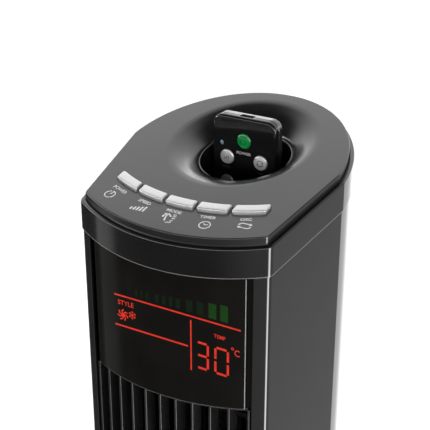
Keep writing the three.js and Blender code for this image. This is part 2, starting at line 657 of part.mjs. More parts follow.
const coverOutline = roundedRect(30, 34, 3, 0, 60);
const back = solid(slab(remoteOutline, 4.9, REMOTE_T))
  .subtract(solid(slab(coverOutline, REMOTE_T - 1.8, REMOTE_T + 1)))
  .subtract(solid(slab(circle(10.6, 28, 0, 60), 4.5 + 0.9, REMOTE_T)))
  .subtract(irSlot);
add("remote_back", geometryOf(back), DARK_PLASTIC, handset);
add("coin_cell", slab(circle(10.2, 28, 0, 60), 5.5, 7.5), ZINC, handset);
const batteryCover = slab(roundedRect(29.4, 33.4, 2.7, 0, 60), REMOTE_T - 1.5, REMOTE_T - 0.1);
add("battery_cover", batteryCover, DARK_PLASTIC, handset);
add("remote_pcb", slab(roundedRect(40, 82, 3, 0, REMOTE_L / 2 - 1), 3, 4.1), BOARD, handset);
add("ir_emitter", slab(roundedRect(7.6, 4.6, 1, 0, REMOTE_L - 2.6, 2), 4.9, 5.4), LENS, handset);
KEYS.forEach(([name, x, z, mat]) => {
  const profile = [[0, -1.1], [3.4, -0.9], [4.8, -0.3], [KEY_R, 0.5], [KEY_R, 1.8], [0, 1.8]];
  const key = add(`key_${name}`, lathe(profile, 18).rotateX(-Math.PI / 2), mat, handset);
  key.position.set(x, 0.3, z);
});

export default group;
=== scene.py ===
"""Tower fan: the finished look of each part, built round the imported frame."""
import json
import math

import bmesh
import bpy
from mathutils import Matrix, Vector
from mathutils.geometry import tessellate_polygon


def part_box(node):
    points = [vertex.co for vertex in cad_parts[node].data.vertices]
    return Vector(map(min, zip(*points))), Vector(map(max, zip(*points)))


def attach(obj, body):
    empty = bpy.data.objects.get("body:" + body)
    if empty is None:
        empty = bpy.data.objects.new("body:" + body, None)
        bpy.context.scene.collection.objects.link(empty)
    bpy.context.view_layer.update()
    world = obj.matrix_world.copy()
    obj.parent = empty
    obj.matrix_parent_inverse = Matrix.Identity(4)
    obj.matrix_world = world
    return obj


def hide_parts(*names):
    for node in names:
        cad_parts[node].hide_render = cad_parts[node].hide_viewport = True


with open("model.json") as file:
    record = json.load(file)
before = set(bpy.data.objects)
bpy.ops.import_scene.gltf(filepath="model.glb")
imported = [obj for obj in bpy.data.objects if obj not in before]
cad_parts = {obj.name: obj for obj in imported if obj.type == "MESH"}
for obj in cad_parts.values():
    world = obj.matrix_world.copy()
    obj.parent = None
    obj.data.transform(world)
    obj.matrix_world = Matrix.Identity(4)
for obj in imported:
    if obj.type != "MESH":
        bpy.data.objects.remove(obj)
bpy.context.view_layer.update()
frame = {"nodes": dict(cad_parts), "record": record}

# ---- driving sizes, in millimetres ---------------------------------------------------
MM = 0.001
HALF_FRONT = 65.0
CORNER_Y = -65.4
FRONT_BULGE = 18.0
BACK_A = 76.2
BACK_B = 86.3
VERTEX_Y = 7.3
CORNER_R = 3.2
BODY_OUT = 2.4
COLLAR_OUT = 3.2
WALL = 2.4
GAP = 0.3
PLATE_Z = 968.0
SLOPE = math.radians(12)
COLLAR_TOP = -5.2
SEAM = -24.4
OPENING_HALF = 58.2
LENS_HALF = 57.4
BASE_R = 150.0
DRUM_Y = 8.0
DOCK_Y = 22.0
BUTTON_RADIUS = 115.0
BUTTON_CENTRE = 58.7
BUTTON_STEP = 21.8
BUTTON_W = 19.2
BUTTON_D = 7.2
BUTTONS = ["power", "speed", "mode", "timer", "swing"]
LEGEND_STEP = 22.5
LEGEND_FRONT = -64.9
SLATS = 11
SLAT_STEP = 11.3
REMOTE_R = 7.0
KEY_GAP = 0.35
VIEWPOINT = (322.3, -560.9, 1230.7)
VIEW_AZIMUTH = 30.56
VIEW_PITCH = 24.08
LENS_LENGTH = 90.32
DISPLAY_Y = -73.0
PRINT = 0.05
INTAKE_ANGLE = 32.0
GRIP_FLANGE = 12.0
PLATE_UNDER = -2.9
DOCK_MOUTH = (31.1, 31.0, 2.06)

FRONT_R = (HALF_FRONT ** 2 + FRONT_BULGE ** 2) / (2 * FRONT_BULGE)
FRONT_CY = CORNER_Y - FRONT_BULGE + FRONT_R


def box_mm(node):
    """Lowest and highest corners of a CAD node in millimetres."""
    lo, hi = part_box(node)
    return lo / MM, hi / MM


def middle_of(node):
    """Centre of a CAD node across and up, and half its width, in millimetres."""
    lo, hi = box_mm(node)
    return (lo.x + hi.x) / 2, (lo.z + hi.z) / 2, (hi.x - lo.x) / 2


def turns(count):
    """Equal angles all the way round."""
    return [2 * math.pi * i / count for i in range(count)]


def place_in_scene(name, data):
    """Links a new object to the scene."""
    made = bpy.data.objects.new(name, data)
    bpy.context.scene.collection.objects.link(made)
    return made


def slope_z(y):
    """Height of the top plate's plane above a point of the plan."""
    return PLATE_Z + (y - CORNER_Y) * math.tan(SLOPE)


def tilted(x, u, h):
    """Point of the plate's own tilted frame: across, up the slope, off the surface."""
    y = u * math.cos(SLOPE) - h * math.sin(SLOPE)
    return (x, y, slope_z(0) + u * math.sin(SLOPE) + h * math.cos(SLOPE))


# ---- camera, light and floor ---------------------------------------------------------
def make_camera():
    data = bpy.data.cameras.new("camera")
    data.sensor_width = 36
    data.lens = LENS_LENGTH
    data.clip_end = 50
    camera = place_in_scene("camera", data)
    camera.location = Vector(VIEWPOINT) * MM
    azimuth, pitch = math.radians(VIEW_AZIMUTH), math.radians(VIEW_PITCH)
    back = Vector((
        math.sin(azimuth) * math.cos(pitch),
        -math.cos(azimuth) * math.cos(pitch),
        math.sin(pitch),
    ))
    camera.rotation_mode = "QUATERNION"
    camera.rotation_quaternion = (-back).to_track_quat("-Z", "Y")
    bpy.context.scene.camera = camera


def map_range(nodes, links, source, span, levels, smooth=True):
    """Maps a source from one span to another."""
    node = nodes.new("ShaderNodeMapRange")
    node.interpolation_type = "SMOOTHSTEP" if smooth else "LINEAR"
    ends = zip(("From Min", "From Max", "To Min", "To Max"), (*span, *levels))
    for socket, value in ends:
        node.inputs[socket].default_value = value
    links.new(source, node.inputs["Value"])
    return node.outputs["Result"]


def ramp(nodes, links, source, stops):
    """A grey level by (position, level) stops."""
    node = nodes.new("ShaderNodeValToRGB")
    node.color_ramp.interpolation = "EASE"
    elements = node.color_ramp.elements
    while len(elements) < len(stops):
        elements.new(0.5)
    for element, (position, level) in zip(elements, stops):
        element.position = position
        element.color = (level, level, level, 1)
    links.new(source, node.inputs["Fac"])
    return node.outputs["Color"]


def blend(nodes, links, factor, low, high):
    """Mixes two levels by a factor."""
    node = nodes.new("ShaderNodeMix")
    node.data_type = "RGBA"
    for socket, source in (("Factor", factor), (6, low), (7, high)):
        links.new(source, node.inputs[socket])
    return node.outputs[2]


def calculate(nodes, links, operation, *sources):
    """One arithmetic step on sources, some of which may be plain numbers."""
    node = nodes.new("ShaderNodeMath")
    node.operation = operation
    for socket, source in zip(node.inputs, sources):
        if isinstance(source, float):
            socket.default_value = source
        else:
            links.new(source, socket)
    return node.outputs[0]


def make_world():
    """A white studio, with darker flats in front and a bright sweep behind the object."""
    world = bpy.data.worlds.new("studio")
    world.use_nodes = True
    nodes, links = world.node_tree.nodes, world.node_tree.links
    background = nodes["Background"]
    background.inputs["Strength"].default_value = 1.0
    coords = nodes.new("ShaderNodeTexCoord")
    split = nodes.new("ShaderNodeSeparateXYZ")
    links.new(coords.outputs["Generated"], split.inputs[0])
    x, y, z = split.outputs
    angle = calculate(nodes, links, "ARCTAN2", y, x)
    turn = map_range(nodes, links, angle, (-math.pi, math.pi), (0, 1), smooth=False)
    # degrees round from +X, and how bright the walls of the studio are there
    stops = [
        (-180, 0.06), (-174, 0.1), (-169, 0.55), (-161, 0.55), (-150, 0.1), (-135, 0.06),
        (-90, 0.06), (-60, 0.4), (-42, 0.7), (-31, 12.0), (-16, 12.0), (-9, 0.8), (0, 0.6),
        (50, 0.6), (62, 1.25), (84, 1.25), (97, 1.8), (105, 1.4), (113, 0.5), (150, 0.08),
        (180, 0.06),
    ]
    walls = ramp(nodes, links, turn, [((degrees + 180) / 360, level) for degrees, level in stops])
    height = map_range(nodes, links, z, (0.02, 0.3), (0, 1))
    lean = calculate(nodes, links, "MULTIPLY_ADD", x, -0.35, y)
    ceiling = map_range(nodes, links, lean, (0.22, 0.66), (0.03, 1.7))
    band = ramp(nodes, links, z, [(0.04, 0), (0.1, 1), (0.2, 1), (0.27, 0)])
    strip = map_range(nodes, links, y, (-0.2, 0.5), (9.0, 3.0), smooth=False)
    room = blend(nodes, links, height, walls, ceiling)
    links.new(blend(nodes, links, band, room, strip), background.inputs["Color"])
    bpy.context.scene.world = world


def pale(name, verts, faces, base, emission):
    """A plain pale surface of the studio, which reflections don't show."""
    mesh = bpy.data.meshes.new(name)
    mesh.from_pydata(verts, [], faces)
    material = bpy.data.materials.new(name)
    material.use_nodes = True
    shader = material.node_tree.nodes["Principled BSDF"]
    shader.inputs["Base Color"].default_value = (base, base, base, 1)
    shader.inputs["Roughness"].default_value = 0.9
    shader.inputs["Specular IOR Level"].default_value = 0.0
    shader.inputs["Emission Color"].default_value = (1, 1, 1, 1)
    shader.inputs["Emission Strength"].default_value = emission
    mesh.materials.append(material)
    made = place_in_scene(name, mesh)
    made.visible_glossy = False
    return made


def make_floor():
    half = 40
    corners = [(-half, -half, 0), (half, -half, 0), (half, half, 0), (-half, half, 0)]
    pale("floor", corners, [(0, 1, 2, 3)], 0.86, 0.42)


def make_backdrop():
    """A round wall far behind everything, which only the camera sees."""
    radius, height, count = 38, 40, 96
    ring = [(radius * math.cos(a), radius * math.sin(a)) for a in turns(count)]
    verts = [(x, y, z) for z in (-0.01, height) for x, y in ring]
    faces = [(i, i + count, (i + 1) % count + count, (i + 1) % count) for i in range(count)]
    backdrop = pale("backdrop", verts, faces, 0.0, 1.0)
    for kind in ("diffuse", "transmission", "volume_scatter", "shadow"):
        setattr(backdrop, f"visible_{kind}", False)


def make_lights():
    """Two soft boxes: a low one behind the object and one at the front right."""
    for name, place, aim, width, depth, power in [
        ("back_low", (-0.6, 2.4, 1.6), (0, 0, 1.0), 1.4, 0.5, 6),
        ("front_right", (2.2, -1.6, 2.0), (0, 0, 0.9), 0.9, 0.9, 16),
    ]:
        data = bpy.data.lights.new(name, "AREA")
        data.shape = "RECTANGLE"
        data.size = width
        data.size_y = depth
        data.energy = power
        light = place_in_scene(name, data)
        light.location = place
        light.rotation_mode = "QUATERNION"
        light.rotation_quaternion = (Vector(aim) - Vector(place)).to_track_quat("-Z", "Y")


MATERIALS = {}


# ---- materials -----------------------------------------------------------------------
def noise(tree, scale, detail=3.0, stretch=(1, 1, 1)):
    coords = tree.nodes.new("ShaderNodeTexCoord")
    mapping = tree.nodes.new("ShaderNodeMapping")
    mapping.inputs["Scale"].default_value = stretch
    texture = tree.nodes.new("ShaderNodeTexNoise")
    texture.inputs["Scale"].default_value = scale
    texture.inputs["Detail"].default_value = detail
    tree.links.new(coords.outputs["Object"], mapping.inputs["Vector"])
    tree.links.new(mapping.outputs["Vector"], texture.inputs["Vector"])
    return texture.outputs["Fac"]


def spread(tree, source, low, high, start=0.3, end=0.7):
    """Maps a noise value to the span between two numbers."""
    return map_range(tree.nodes, tree.links, source, (start, end), (low, high), smooth=False)


def tint(tree, source, low, high, start=0.3, end=0.7):
    """Mixes two colours by a noise value."""
    node = tree.nodes.new("ShaderNodeMix")
    node.data_type = "RGBA"
    tree.links.new(spread(tree, source, 0, 1, start, end), node.inputs["Factor"])
    node.inputs[6].default_value = (*low, 1)
    node.inputs[7].default_value = (*high, 1)
    return node.outputs[2]


def bump(tree, layers):
    """Stacks (height source, depth in metres) layers into one normal."""
    normal = None
    for source, depth in layers:
        node = tree.nodes.new("ShaderNodeBump")
        node.inputs["Strength"].default_value = 1.0
        node.inputs["Distance"].default_value = depth
        tree.links.new(source, node.inputs["Height"])
        if normal is not None:
            tree.links.new(normal, node.inputs["Normal"])
        normal = node.outputs["Normal"]
    return normal


def material(name, low, high, rough, grain, metallic=0.0, specular=0.5, colour_scale=40, **sockets):
    """An uneven surface: low and high are the colour's two ends, rough is (least, most, scale)
    and grain is a list of (scale, depth) layers, each with a stretch if it has one."""
    made = bpy.data.materials.new(name)
    made.use_nodes = True
    tree = made.node_tree
    shader = tree.nodes["Principled BSDF"]
    shader.inputs["Metallic"].default_value = metallic
    shader.inputs["Specular IOR Level"].default_value = specular
    for socket, value in sockets.items():
        shader.inputs[socket.replace("_", " ")].default_value = value
    tree.links.new(tint(tree, noise(tree, colour_scale), low, high), shader.inputs["Base Color"])
    least, most, scale = rough
    tree.links.new(spread(tree, noise(tree, scale, 5), least, most), shader.inputs["Roughness"])
    layers = [(noise(tree, s, 2, *stretch), depth) for s, depth, *stretch in grain]
    tree.links.new(bump(tree, layers), shader.inputs["Normal"])
    MATERIALS[name] = made


def grey(low, high=None, tone=(1, 1, 1)):
    high = low if high is None else high
    return tuple(low * t for t in tone), tuple(high * t for t in tone)


def glow(name, colour, strength, body=(0.02, 0.02, 0.02)):
    """A lit display element with a slightly uneven brightness."""
    made = bpy.data.materials.new(name)
    made.use_nodes = True
    tree = made.node_tree
    shader = tree.nodes["Principled BSDF"]
    shader.inputs["Base Color"].default_value = (*body, 1)
    shader.inputs["Roughness"].default_value = 0.2
    shader.inputs["Specular IOR Level"].default_value = 0.15
    shader.inputs["Emission Strength"].default_value = strength
    darker = tuple(c * 0.72 for c in colour)
    tree.links.new(tint(tree, noise(tree, 260), darker, colour), shader.inputs["Emission Color"])
    MATERIALS[name] = made


def make_materials():
    material("gloss_black", *grey(0.0045, 0.006), (0.035, 0.075, 30),
        [(16, 0.00009, (1, 1, 0.35)), (420, 0.0000022)], Coat_Weight=0.25, Coat_Roughness=0.03)
    material("satin_grey", *grey(0.008, 0.011), (0.21, 0.26, 90),
        [(2600, 0.0000016), (700, 0.0000016)], specular=0.6, colour_scale=25)
    material("dark_plastic", *grey(0.0025, 0.0045), (0.36, 0.48, 120),
        [(1800, 0.000012), (500, 0.000008)], specular=0.15, colour_scale=60)
    material("matt_black", *grey(0.0025, 0.004), (0.75, 0.9, 120), [(1500, 0.00001)], specular=0.05)
    material("silver_plastic", *grey(0.55, 0.6, (1, 1, 1.01)), (0.3, 0.38, 600),
        [(700, 0.0000008)], metallic=0.68, colour_scale=5200)
    material("green_plastic", (0.0, 0.12, 0.024), (0.008, 0.18, 0.044), (0.1, 0.16, 200),
        [(500, 0.000002)], colour_scale=300, Coat_Weight=0.6)
    material("smoked_lens", *grey(0.0035, 0.0055, (1.05, 1, 0.9)), (0.015, 0.04, 25),
        [(11, 0.00004)], specular=0.065)
    # light grey base colour paints a highlight line onto the display window's edges; the high
    # specular adds a real reflection on top
    material("lens_edge_painted_highlight", *grey(0.1, 0.14), (0.15, 0.25, 300),
        [(900, 0.000002)], specular=0.9)
    # light grey base colour paints a highlight line along the collar's lower edge; the high
    # specular adds a real reflection
    material("collar_painted_highlight_stripe", *grey(0.1, 0.15), (0.15, 0.25, 300), [(900, 0.000002)], specular=0.9)
    material("key_silver", *grey(0.5, 0.6, (1, 1, 1.01)), (0.28, 0.36, 300),
        [(900, 0.000001)], metallic=0.6, colour_scale=5200)
    material("remote_face", *grey(0.004, 0.006), (0.06, 0.1, 60), [(60, 0.00001)], specular=0.3)
    material("led_lens", (0.07, 0.1, 0.13), (0.1, 0.14, 0.18), (0.15, 0.2, 300), [(800, 0.000002)])
    material("steel", *grey(0.46, 0.58), (0.26, 0.42, 240),
        [(900, 0.000008)], metallic=1.0)
    material("zinc_plate", *grey(0.5, 0.66, (0.97, 0.99, 1)), (0.3, 0.5, 90),
        [(300, 0.00001)], metallic=1.0, colour_scale=120)
    material("rubber", *grey(0.012, 0.02), (0.72, 0.88, 200),
        [(1500, 0.00003)], specular=0.3)
    material("white_plastic", (0.7, 0.69, 0.64), (0.78, 0.77, 0.73), (0.34, 0.46, 100),
        [(900, 0.000006)])
    board_material()
    material("ink", *grey(0.72, 0.8), (0.45, 0.6, 400), [(1600, 0.000002)], specular=0.25)
    material("grey_ink", *grey(0.3, 0.36), (0.4, 0.5, 400), [(1600, 0.000002)])
    material("dim_ink", *grey(0.03, 0.045), (0.3, 0.4, 400), [(1600, 0.000002)])
    material("dark_ink", *grey(0.03, 0.05), (0.3, 0.4, 400), [(1600, 0.000002)])
    material("dark_green_ink", (0.0, 0.045, 0.01), (0.0, 0.06, 0.014), (0.2, 0.3, 400),
        [(1600, 0.000002)])
    material("satin_black", *grey(0.01, 0.014), (0.18, 0.25, 150),
        [(900, 0.000003)], specular=0.7, colour_scale=80)
    glow("lit_red", (1.0, 0.045, 0.022), 0.8, (0.01, 0.005, 0.005))
    glow("lit_green", (0.07, 0.55, 0.03), 0.075, (0.004, 0.006, 0.004))
    glow("dim_green", (0.08, 0.45, 0.04), 0.018, (0.004, 0.005, 0.004))


def board_material():
    """Green solder resist with rows of tinned pads."""
    made = bpy.data.materials.new("circuit_board")
    made.use_nodes = True
    tree = made.node_tree
    shader = tree.nodes["Principled BSDF"]
    shader.inputs["Roughness"].default_value = 0.4
    coords = tree.nodes.new("ShaderNodeTexCoord")
    cells = tree.nodes.new("ShaderNodeTexVoronoi")
    cells.inputs["Scale"].default_value = 320
    tree.links.new(coords.outputs["Object"], cells.inputs["Vector"])
    tree.links.new(
        tint(tree, cells.outputs["Distance"], (0.55, 0.5, 0.36), (0.008, 0.11, 0.035), 0.16, 0.2),
        shader.inputs["Base Color"])
    tree.links.new(bump(tree, [(cells.outputs["Distance"], 0.00004)]), shader.inputs["Normal"])
    MATERIALS["circuit_board"] = made


# ---- mesh helpers --------------------------------------------------------------------
def grid(rows, wrap_rows=False, wrap_columns=True, caps=True):
    """Vertices and faces of a skin through rows of points."""
    count = len(rows[0])
    verts = [p for row in rows for p in row]
    faces = []
    for i in range(len(rows) if wrap_rows else len(rows) - 1):
        a, b = i * count, ((i + 1) % len(rows)) * count
        for j in range(count if wrap_columns else count - 1):
            k = (j + 1) % count
            faces.append((a + j, a + k, b + k, b + j))
    if caps and not wrap_rows:
        faces.append(tuple(reversed(range(count))))
        last = (len(rows) - 1) * count
        faces.append(tuple(range(last, last + count)))
    if wrap_rows and not wrap_columns:
        faces.append(tuple(i * count for i in range(len(rows))))
        faces.append(tuple(i * count + count - 1 for i in reversed(range(len(rows)))))
    return verts, faces


def join(parts):
    """One list of vertices and faces from several."""
    verts, faces = [], []
    for part_verts, part_faces in parts:
        start = len(verts)
        verts += part_verts
        faces += [tuple(i + start for i in face) for face in part_faces]
    return verts, faces


def mesh_object(name, shape):
    """An object in metres from a shape in millimetres, its faces pointing out."""
    verts, faces = shape
    mesh = bpy.data.meshes.new(name)
    mesh.from_pydata([tuple(c * MM for c in v) for v in verts], [], faces)
    work = bmesh.new()
    work.from_mesh(mesh)
    bmesh.ops.remove_doubles(work, verts=work.verts, dist=1e-7)
    bmesh.ops.dissolve_degenerate(work, edges=work.edges, dist=1e-8)
    bmesh.ops.recalc_face_normals(work, faces=work.faces)
    work.to_mesh(mesh)
    work.free()
    return place_in_scene(name, mesh)


def soften(made, angle=35):
    """Smooth shading that keeps real edges, led by the large faces."""
    made.data.shade_smooth()
    made.data.set_sharp_from_angle(angle=math.radians(angle))
    for edge in made.data.edges:
        ends = [made.data.vertices[i].co / MM for i in edge.vertices]
        if all(70 < abs(p.x) < 80 and abs(p.y - VERTEX_Y) < 0.5 for p in ends):
            edge.use_edge_sharp = True
    weighted = made.modifiers.new("weighted_normals", "WEIGHTED_NORMAL")
    weighted.keep_sharp = True
    weighted.weight = 60


def bevelled(made, width, segments=2, angle=40):
    """Rounds the edges sharper than an angle, in the mesh itself."""
    work = bmesh.new()
    work.from_mesh(made.data)
    edges = [e for e in work.edges if e.is_manifold and e.calc_face_angle(0) > math.radians(angle)]
    bmesh.ops.bevel(
        work, geom=edges, offset=width * MM, segments=segments, profile=0.5,
        affect="EDGES", clamp_overlap=True)
    work.to_mesh(made.data)
    work.free()


def carve(made, cutters):
    """Cuts shapes out of a mesh and removes the cutters."""
    for cutter in cutters:
        cut = made.modifiers.new("cut", "BOOLEAN")
        cut.operation = "DIFFERENCE"
        cut.solver = "EXACT"
        cut.object = cutter
    graph = bpy.context.evaluated_depsgraph_get()
    mesh = bpy.data.meshes.new_from_object(made.evaluated_get(graph))
    made.modifiers.clear()
    old = made.data
    made.data = mesh
    bpy.data.meshes.remove(old)
    for cutter in cutters:
        bpy.data.objects.remove(cutter)


def finish(made, finish_name, body, nodes=(), angle=35):
    """Gives a piece its finish, its body and the CAD nodes that it stands for."""
    made.data.materials.clear()
    made.data.materials.append(MATERIALS[finish_name])
    soften(made, angle)
    if nodes:
        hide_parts(*nodes)
    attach(made, body)
    return made


def piece(name, shape, finish_name, body, nodes=(), angle=35):
    """A finished piece straight from a shape."""
    return finish(mesh_object(name, shape), finish_name, body, nodes, angle)


# ---- plan outline of the tower -------------------------------------------------------
def front_arc(half, offset, steps):
    r = FRONT_R + offset
    reach = math.asin(half / r)
    angles = [-reach + 2 * reach * i / steps for i in range(steps + 1)]
    return [(r * math.sin(a), FRONT_CY - r * math.cos(a)) for a in angles]


def back_arc(offset, steps, start=None, end=None):
    start = math.asin(VERTEX_Y / BACK_B) if start is None else start
    end = math.pi - start if end is None else end
    angles = [start + (end - start) * i / steps for i in range(steps + 1)]
    return [((BACK_A + offset) * math.cos(a), (BACK_B + offset) * math.sin(a)) for a in angles]


def rounded_corner(before, corner, after, r, steps):
    c = Vector(corner)
    u = (Vector(before) - c).normalized()
    v = (Vector(after) - c).normalized()
    half = math.acos(max(-1, min(1, u.dot(v)))) / 2
    centre = c + (u + v).normalized() * (r / math.sin(half))
    start = c + u * (r / math.tan(half)) - centre
    end = c + v * (r / math.tan(half)) - centre
    turn = math.atan2(start.x * end.y - start.y * end.x, start.dot(end))
    points = []
    for i in range(steps + 1):
        p = Matrix.Rotation(turn * i / steps, 2) @ start + centre
        points.append((p.x, p.y))
    return points


def rounded(polygon, radius, steps=3):
    """A closed polygon with its corners rounded; radius may be a list."""
    points = []
    for i, corner in enumerate(polygon):
        r = radius[i] if isinstance(radius, (list, tuple)) else radius
        if r <= 0:
            points.append(tuple(corner))
            continue
        before, after = polygon[i - 1], polygon[(i + 1) % len(polygon)]
        points += rounded_corner(before, corner, after, r, steps)
    return points


def oblong(x0, x1, y0, y1, radius, steps=3):
    """A rectangle with its corners rounded."""
    return rounded([(x0, y0), (x1, y0), (x1, y1), (x0, y1)], radius, steps)


def outline(offset, front=44, back=84, corner=7):
    half = HALF_FRONT + offset
    arc = front_arc(half, offset * 0.9, front)
    rear = back_arc(offset, back)
    r = max(CORNER_R + offset * 0.6, 0.8)
    right = rounded_corner(arc[-2], arc[-1], rear[0], r, corner)
    left = rounded_corner(rear[-1], arc[0], arc[1], r, corner)
    skip = 2
    return [*left, *arc[skip:-skip], *right, *rear]


def wall(profile, sloped):
    """Sweeps a closed profile of (offset, z) round the plan outline."""
    return [
        [(x, y, z + (slope_z(y) if sloped else 0)) for x, y in outline(offset)]
        for offset, z in profile
    ]


def lathe(profile, segments=96, centre=(0, 0, 0), closed=True):
    """Revolves (radius, z) pairs about a vertical axis."""
    cx, cy, cz = centre
    rows = [
        [(cx + r * math.cos(a), cy + r * math.sin(a), cz + z) for a in turns(segments)]
        for r, z in profile
    ]
    return grid(rows, wrap_rows=closed, caps=not closed)


# ---- body of the tower ---------------------------------------------------------------
def make_skirt():
    lo, hi = box_mm("lower_skirt")
    outer, inner = BODY_OUT, BODY_OUT - WALL
    corners = [(outer, lo.z), (outer, hi.z), (inner, hi.z), (inner, lo.z)]
    profile = rounded(corners, [1.0, 0.6, 0.3, 0.3])
    band = grid(wall(profile, False), wrap_rows=True)
    piece("lower_skirt_shell", band, "gloss_black", "tower", ["lower_skirt"])


def thick_grid(outer, inner, skip):
    """A thick sheet between two grids of points, open where skip(i, j) says."""
    rows, columns = len(outer), len(outer[0])
    verts = [p for row in outer for p in row] + [p for row in inner for p in row]
    half = rows * columns
    kept = {(i, j) for i in range(rows - 1) for j in range(columns - 1) if not skip(i, j)}
    faces = []
    for i, j in sorted(kept):
        a, d = i * columns + j, (i + 1) * columns + j
        b, c = a + 1, d + 1
        faces.append((a, b, c, d))
        faces.append((half + d, half + c, half + b, half + a))
        sides = [((i - 1, j), a, b), ((i, j + 1), b, c), ((i + 1, j), c, d), ((i, j - 1), d, a)]
        for near, p, q in sides:
            if near not in kept:
                faces.append((q, p, half + p, half + q))
    return verts, faces


def make_shell():
    """Shell behind the outlet, with the intake window and the hand grip cut through."""
    lo, _ = box_mm("rear_shell")
    window_lo, window_hi = box_mm("rear_grille")
    grip_lo, grip_hi = box_mm("handle_pocket")
    window = math.radians(INTAKE_ANGLE)
    grip_half = grip_hi.x + GAP
    counts = [10, 14, 30, 14, 10]

    half = OPENING_HALF + 0.6
    reference = outline(BODY_OUT)
    front_end = next(i for i, p in enumerate(reference) if p[0] > half + 0.3 and p[1] < -40)
    flat_end = next(i for i, p in enumerate(reference) if p[0] > 0 and p[1] > VERTEX_Y - 2)

    def path(offset):
        whole = outline(offset)
        cut_y = FRONT_CY - math.sqrt((FRONT_R + offset * 0.9) ** 2 - half * half)
        right = [(half, cut_y), *whole[front_end:flat_end]]
        low, grip = math.asin(VERTEX_Y / BACK_B), math.acos(grip_half / (BACK_A + offset))
        marks = [low, window, grip, math.pi - grip, math.pi - window, math.pi - low]
        rear = []
        for k, count in enumerate(counts):
            rear += back_arc(offset, count, marks[k], marks[k + 1])[:-1]
        rear += back_arc(offset, 1, marks[-1], marks[-1])[:1]
        left = [(-x, y) for x, y in reversed(right)]
        return [*right, *rear, *left], len(right)

    outer_path, lead = path(BODY_OUT)
    inner_path, _ = path(BODY_OUT - WALL)
    top = SEAM - GAP
    levels = [lo.z, window_lo.z - 0.5, 350, 516, 680, window_hi.z + 0.5]
    levels += [grip_lo.z - GAP, grip_hi.z + GAP]
    window_from, window_to = lead + counts[0], lead + sum(counts[:4])
    grip_from, grip_to = lead + sum(counts[:2]), lead + sum(counts[:3])

    def rows(line):
        made = [[(x, y, z) for x, y in line] for z in levels]
        made.append([(x, y, slope_z(y) + top) for x, y in line])
        return made

    def skip(i, j):
        in_window = 1 <= i < 5 and window_from <= j < window_to
        return in_window or (i == 6 and grip_from <= j < grip_to)

    shell = mesh_object("rear_shell_skin", thick_grid(rows(outer_path), rows(inner_path), skip))
    bevelled(shell, 0.5, 3, 60)
    finish(shell, "gloss_black", "tower", ["rear_shell"])
    shell.data.materials.append(MATERIALS["matt_black"])
    for face in shell.data.polygons:
        middle = face.center
        if face.normal.x * middle.x + face.normal.y * middle.y < -0.02 and abs(face.normal.z) < 0.3:
            face.material_index = 1


def make_grip():
    """Recessed hand grip: a curved flange round a box that is open to the back."""
    lo, hi = box_mm("handle_pocket")
    half, columns = hi.x, 60
    levels = [lo.z, lo.z + GRIP_FLANGE, hi.z - GRIP_FLANGE, hi.z]
    edge = round(columns * GRIP_FLANGE / (2 * half))

    def back_y(x, offset):
        return (BACK_B + offset) * math.sqrt(1 - (x / (BACK_A + offset)) ** 2)

    def rows(offset):
        reach = [half * (2 * j / columns - 1) for j in range(columns + 1)]
        return [[(-x, back_y(x, offset), z) for x in reach] for z in levels]

    def skip(i, j):
        return i == 1 and edge <= j < columns - edge

    hole = half * (1 - 2 * edge / columns)
    middle, tall = (lo.z + hi.z) / 2, hi.z - lo.z - 2 * GRIP_FLANGE
    ring = rounded_rect(2 * hole, tall, 0.6, 0, middle, 3)
    outer_ring = rounded_rect(2 * hole + 3.6, tall + 3.6, 1.6, 0, middle, 3)
    rim, outer_rim = ([(x, back_y(x, 0) - 0.02, z) for x, z in loop] for loop in (ring, outer_ring))
    box_rows = [
        [(x, lo.y, z) for x, z in outer_ring], outer_rim, rim, [(x, lo.y + 2, z) for x, z in ring],
    ]
    collar = mesh_object("hand_grip_pocket", thick_grid(rows(BODY_OUT), rows(0), skip))
    bevelled(collar, 0.6, 3, 60)
    pocket = mesh_object("hand_grip_well", grid(box_rows))
    finish(pocket, "dark_plastic", "tower")
    finish(collar, "dark_plastic", "tower", ["handle_pocket"])


def make_collar():
    outer, inner, top, seam = COLLAR_OUT, COLLAR_OUT - 3, COLLAR_TOP, SEAM
    # a thin band just above the seam, kept in the profile so its faces can take the light grey
    # stripe: a painted highlight line along the collar's lower edge
    line = (seam + 0.25, seam + 0.65)
    profile = rounded(
        [(outer, seam), (outer, line[0]), (outer, line[1]), (outer, top), (inner, top),
         (inner, seam + 2.5), (-4, seam + 2.5), (-4, seam)],
        [0.22, 0, 0, 0.9, 0.45, 0.2, 0.2, 0.2], 4)
    band = grid(wall(profile, True), wrap_rows=True)
    made = piece("head_collar_band", band, "gloss_black", "tower", ["head_collar"])
    # faces of that band, facing out or up, get the light grey painted highlight material
    made.data.materials.append(MATERIALS["collar_painted_highlight_stripe"])
    for face in made.data.polygons:
        corners = [made.data.vertices[i].co / MM for i in face.vertices]
        on_painted_stripe = all(abs(c.z - slope_z(c.y) - sum(line) / 2) < 0.25 for c in corners)
        if on_painted_stripe and face.normal.z > -0.2:
            face.material_index = 1


# ---- top plate -----------------------------------------------------------------------
# rim to mouth of the funnel: height, half width, half depth, squareness and centre
FUNNEL = [
    (0, 49.6, 54.8, 2.0, DOCK_Y),
    (-0.35, 47.3, 51.9, 2.0, DOCK_Y + 0.1),
    (-1.3, 44.5, 48.5, 2.0, DOCK_Y + 0.4),
    (-4, 39.5, 42, 2.0, DOCK_Y + 1),
    (-8, 34.5, 35.5, 2.0, DOCK_Y + 2),
    (-10.6, 32, 32.2, 2.02, DOCK_Y + 2.5),
    (-12.2, *DOCK_MOUTH, DOCK_Y + 2.75),
]


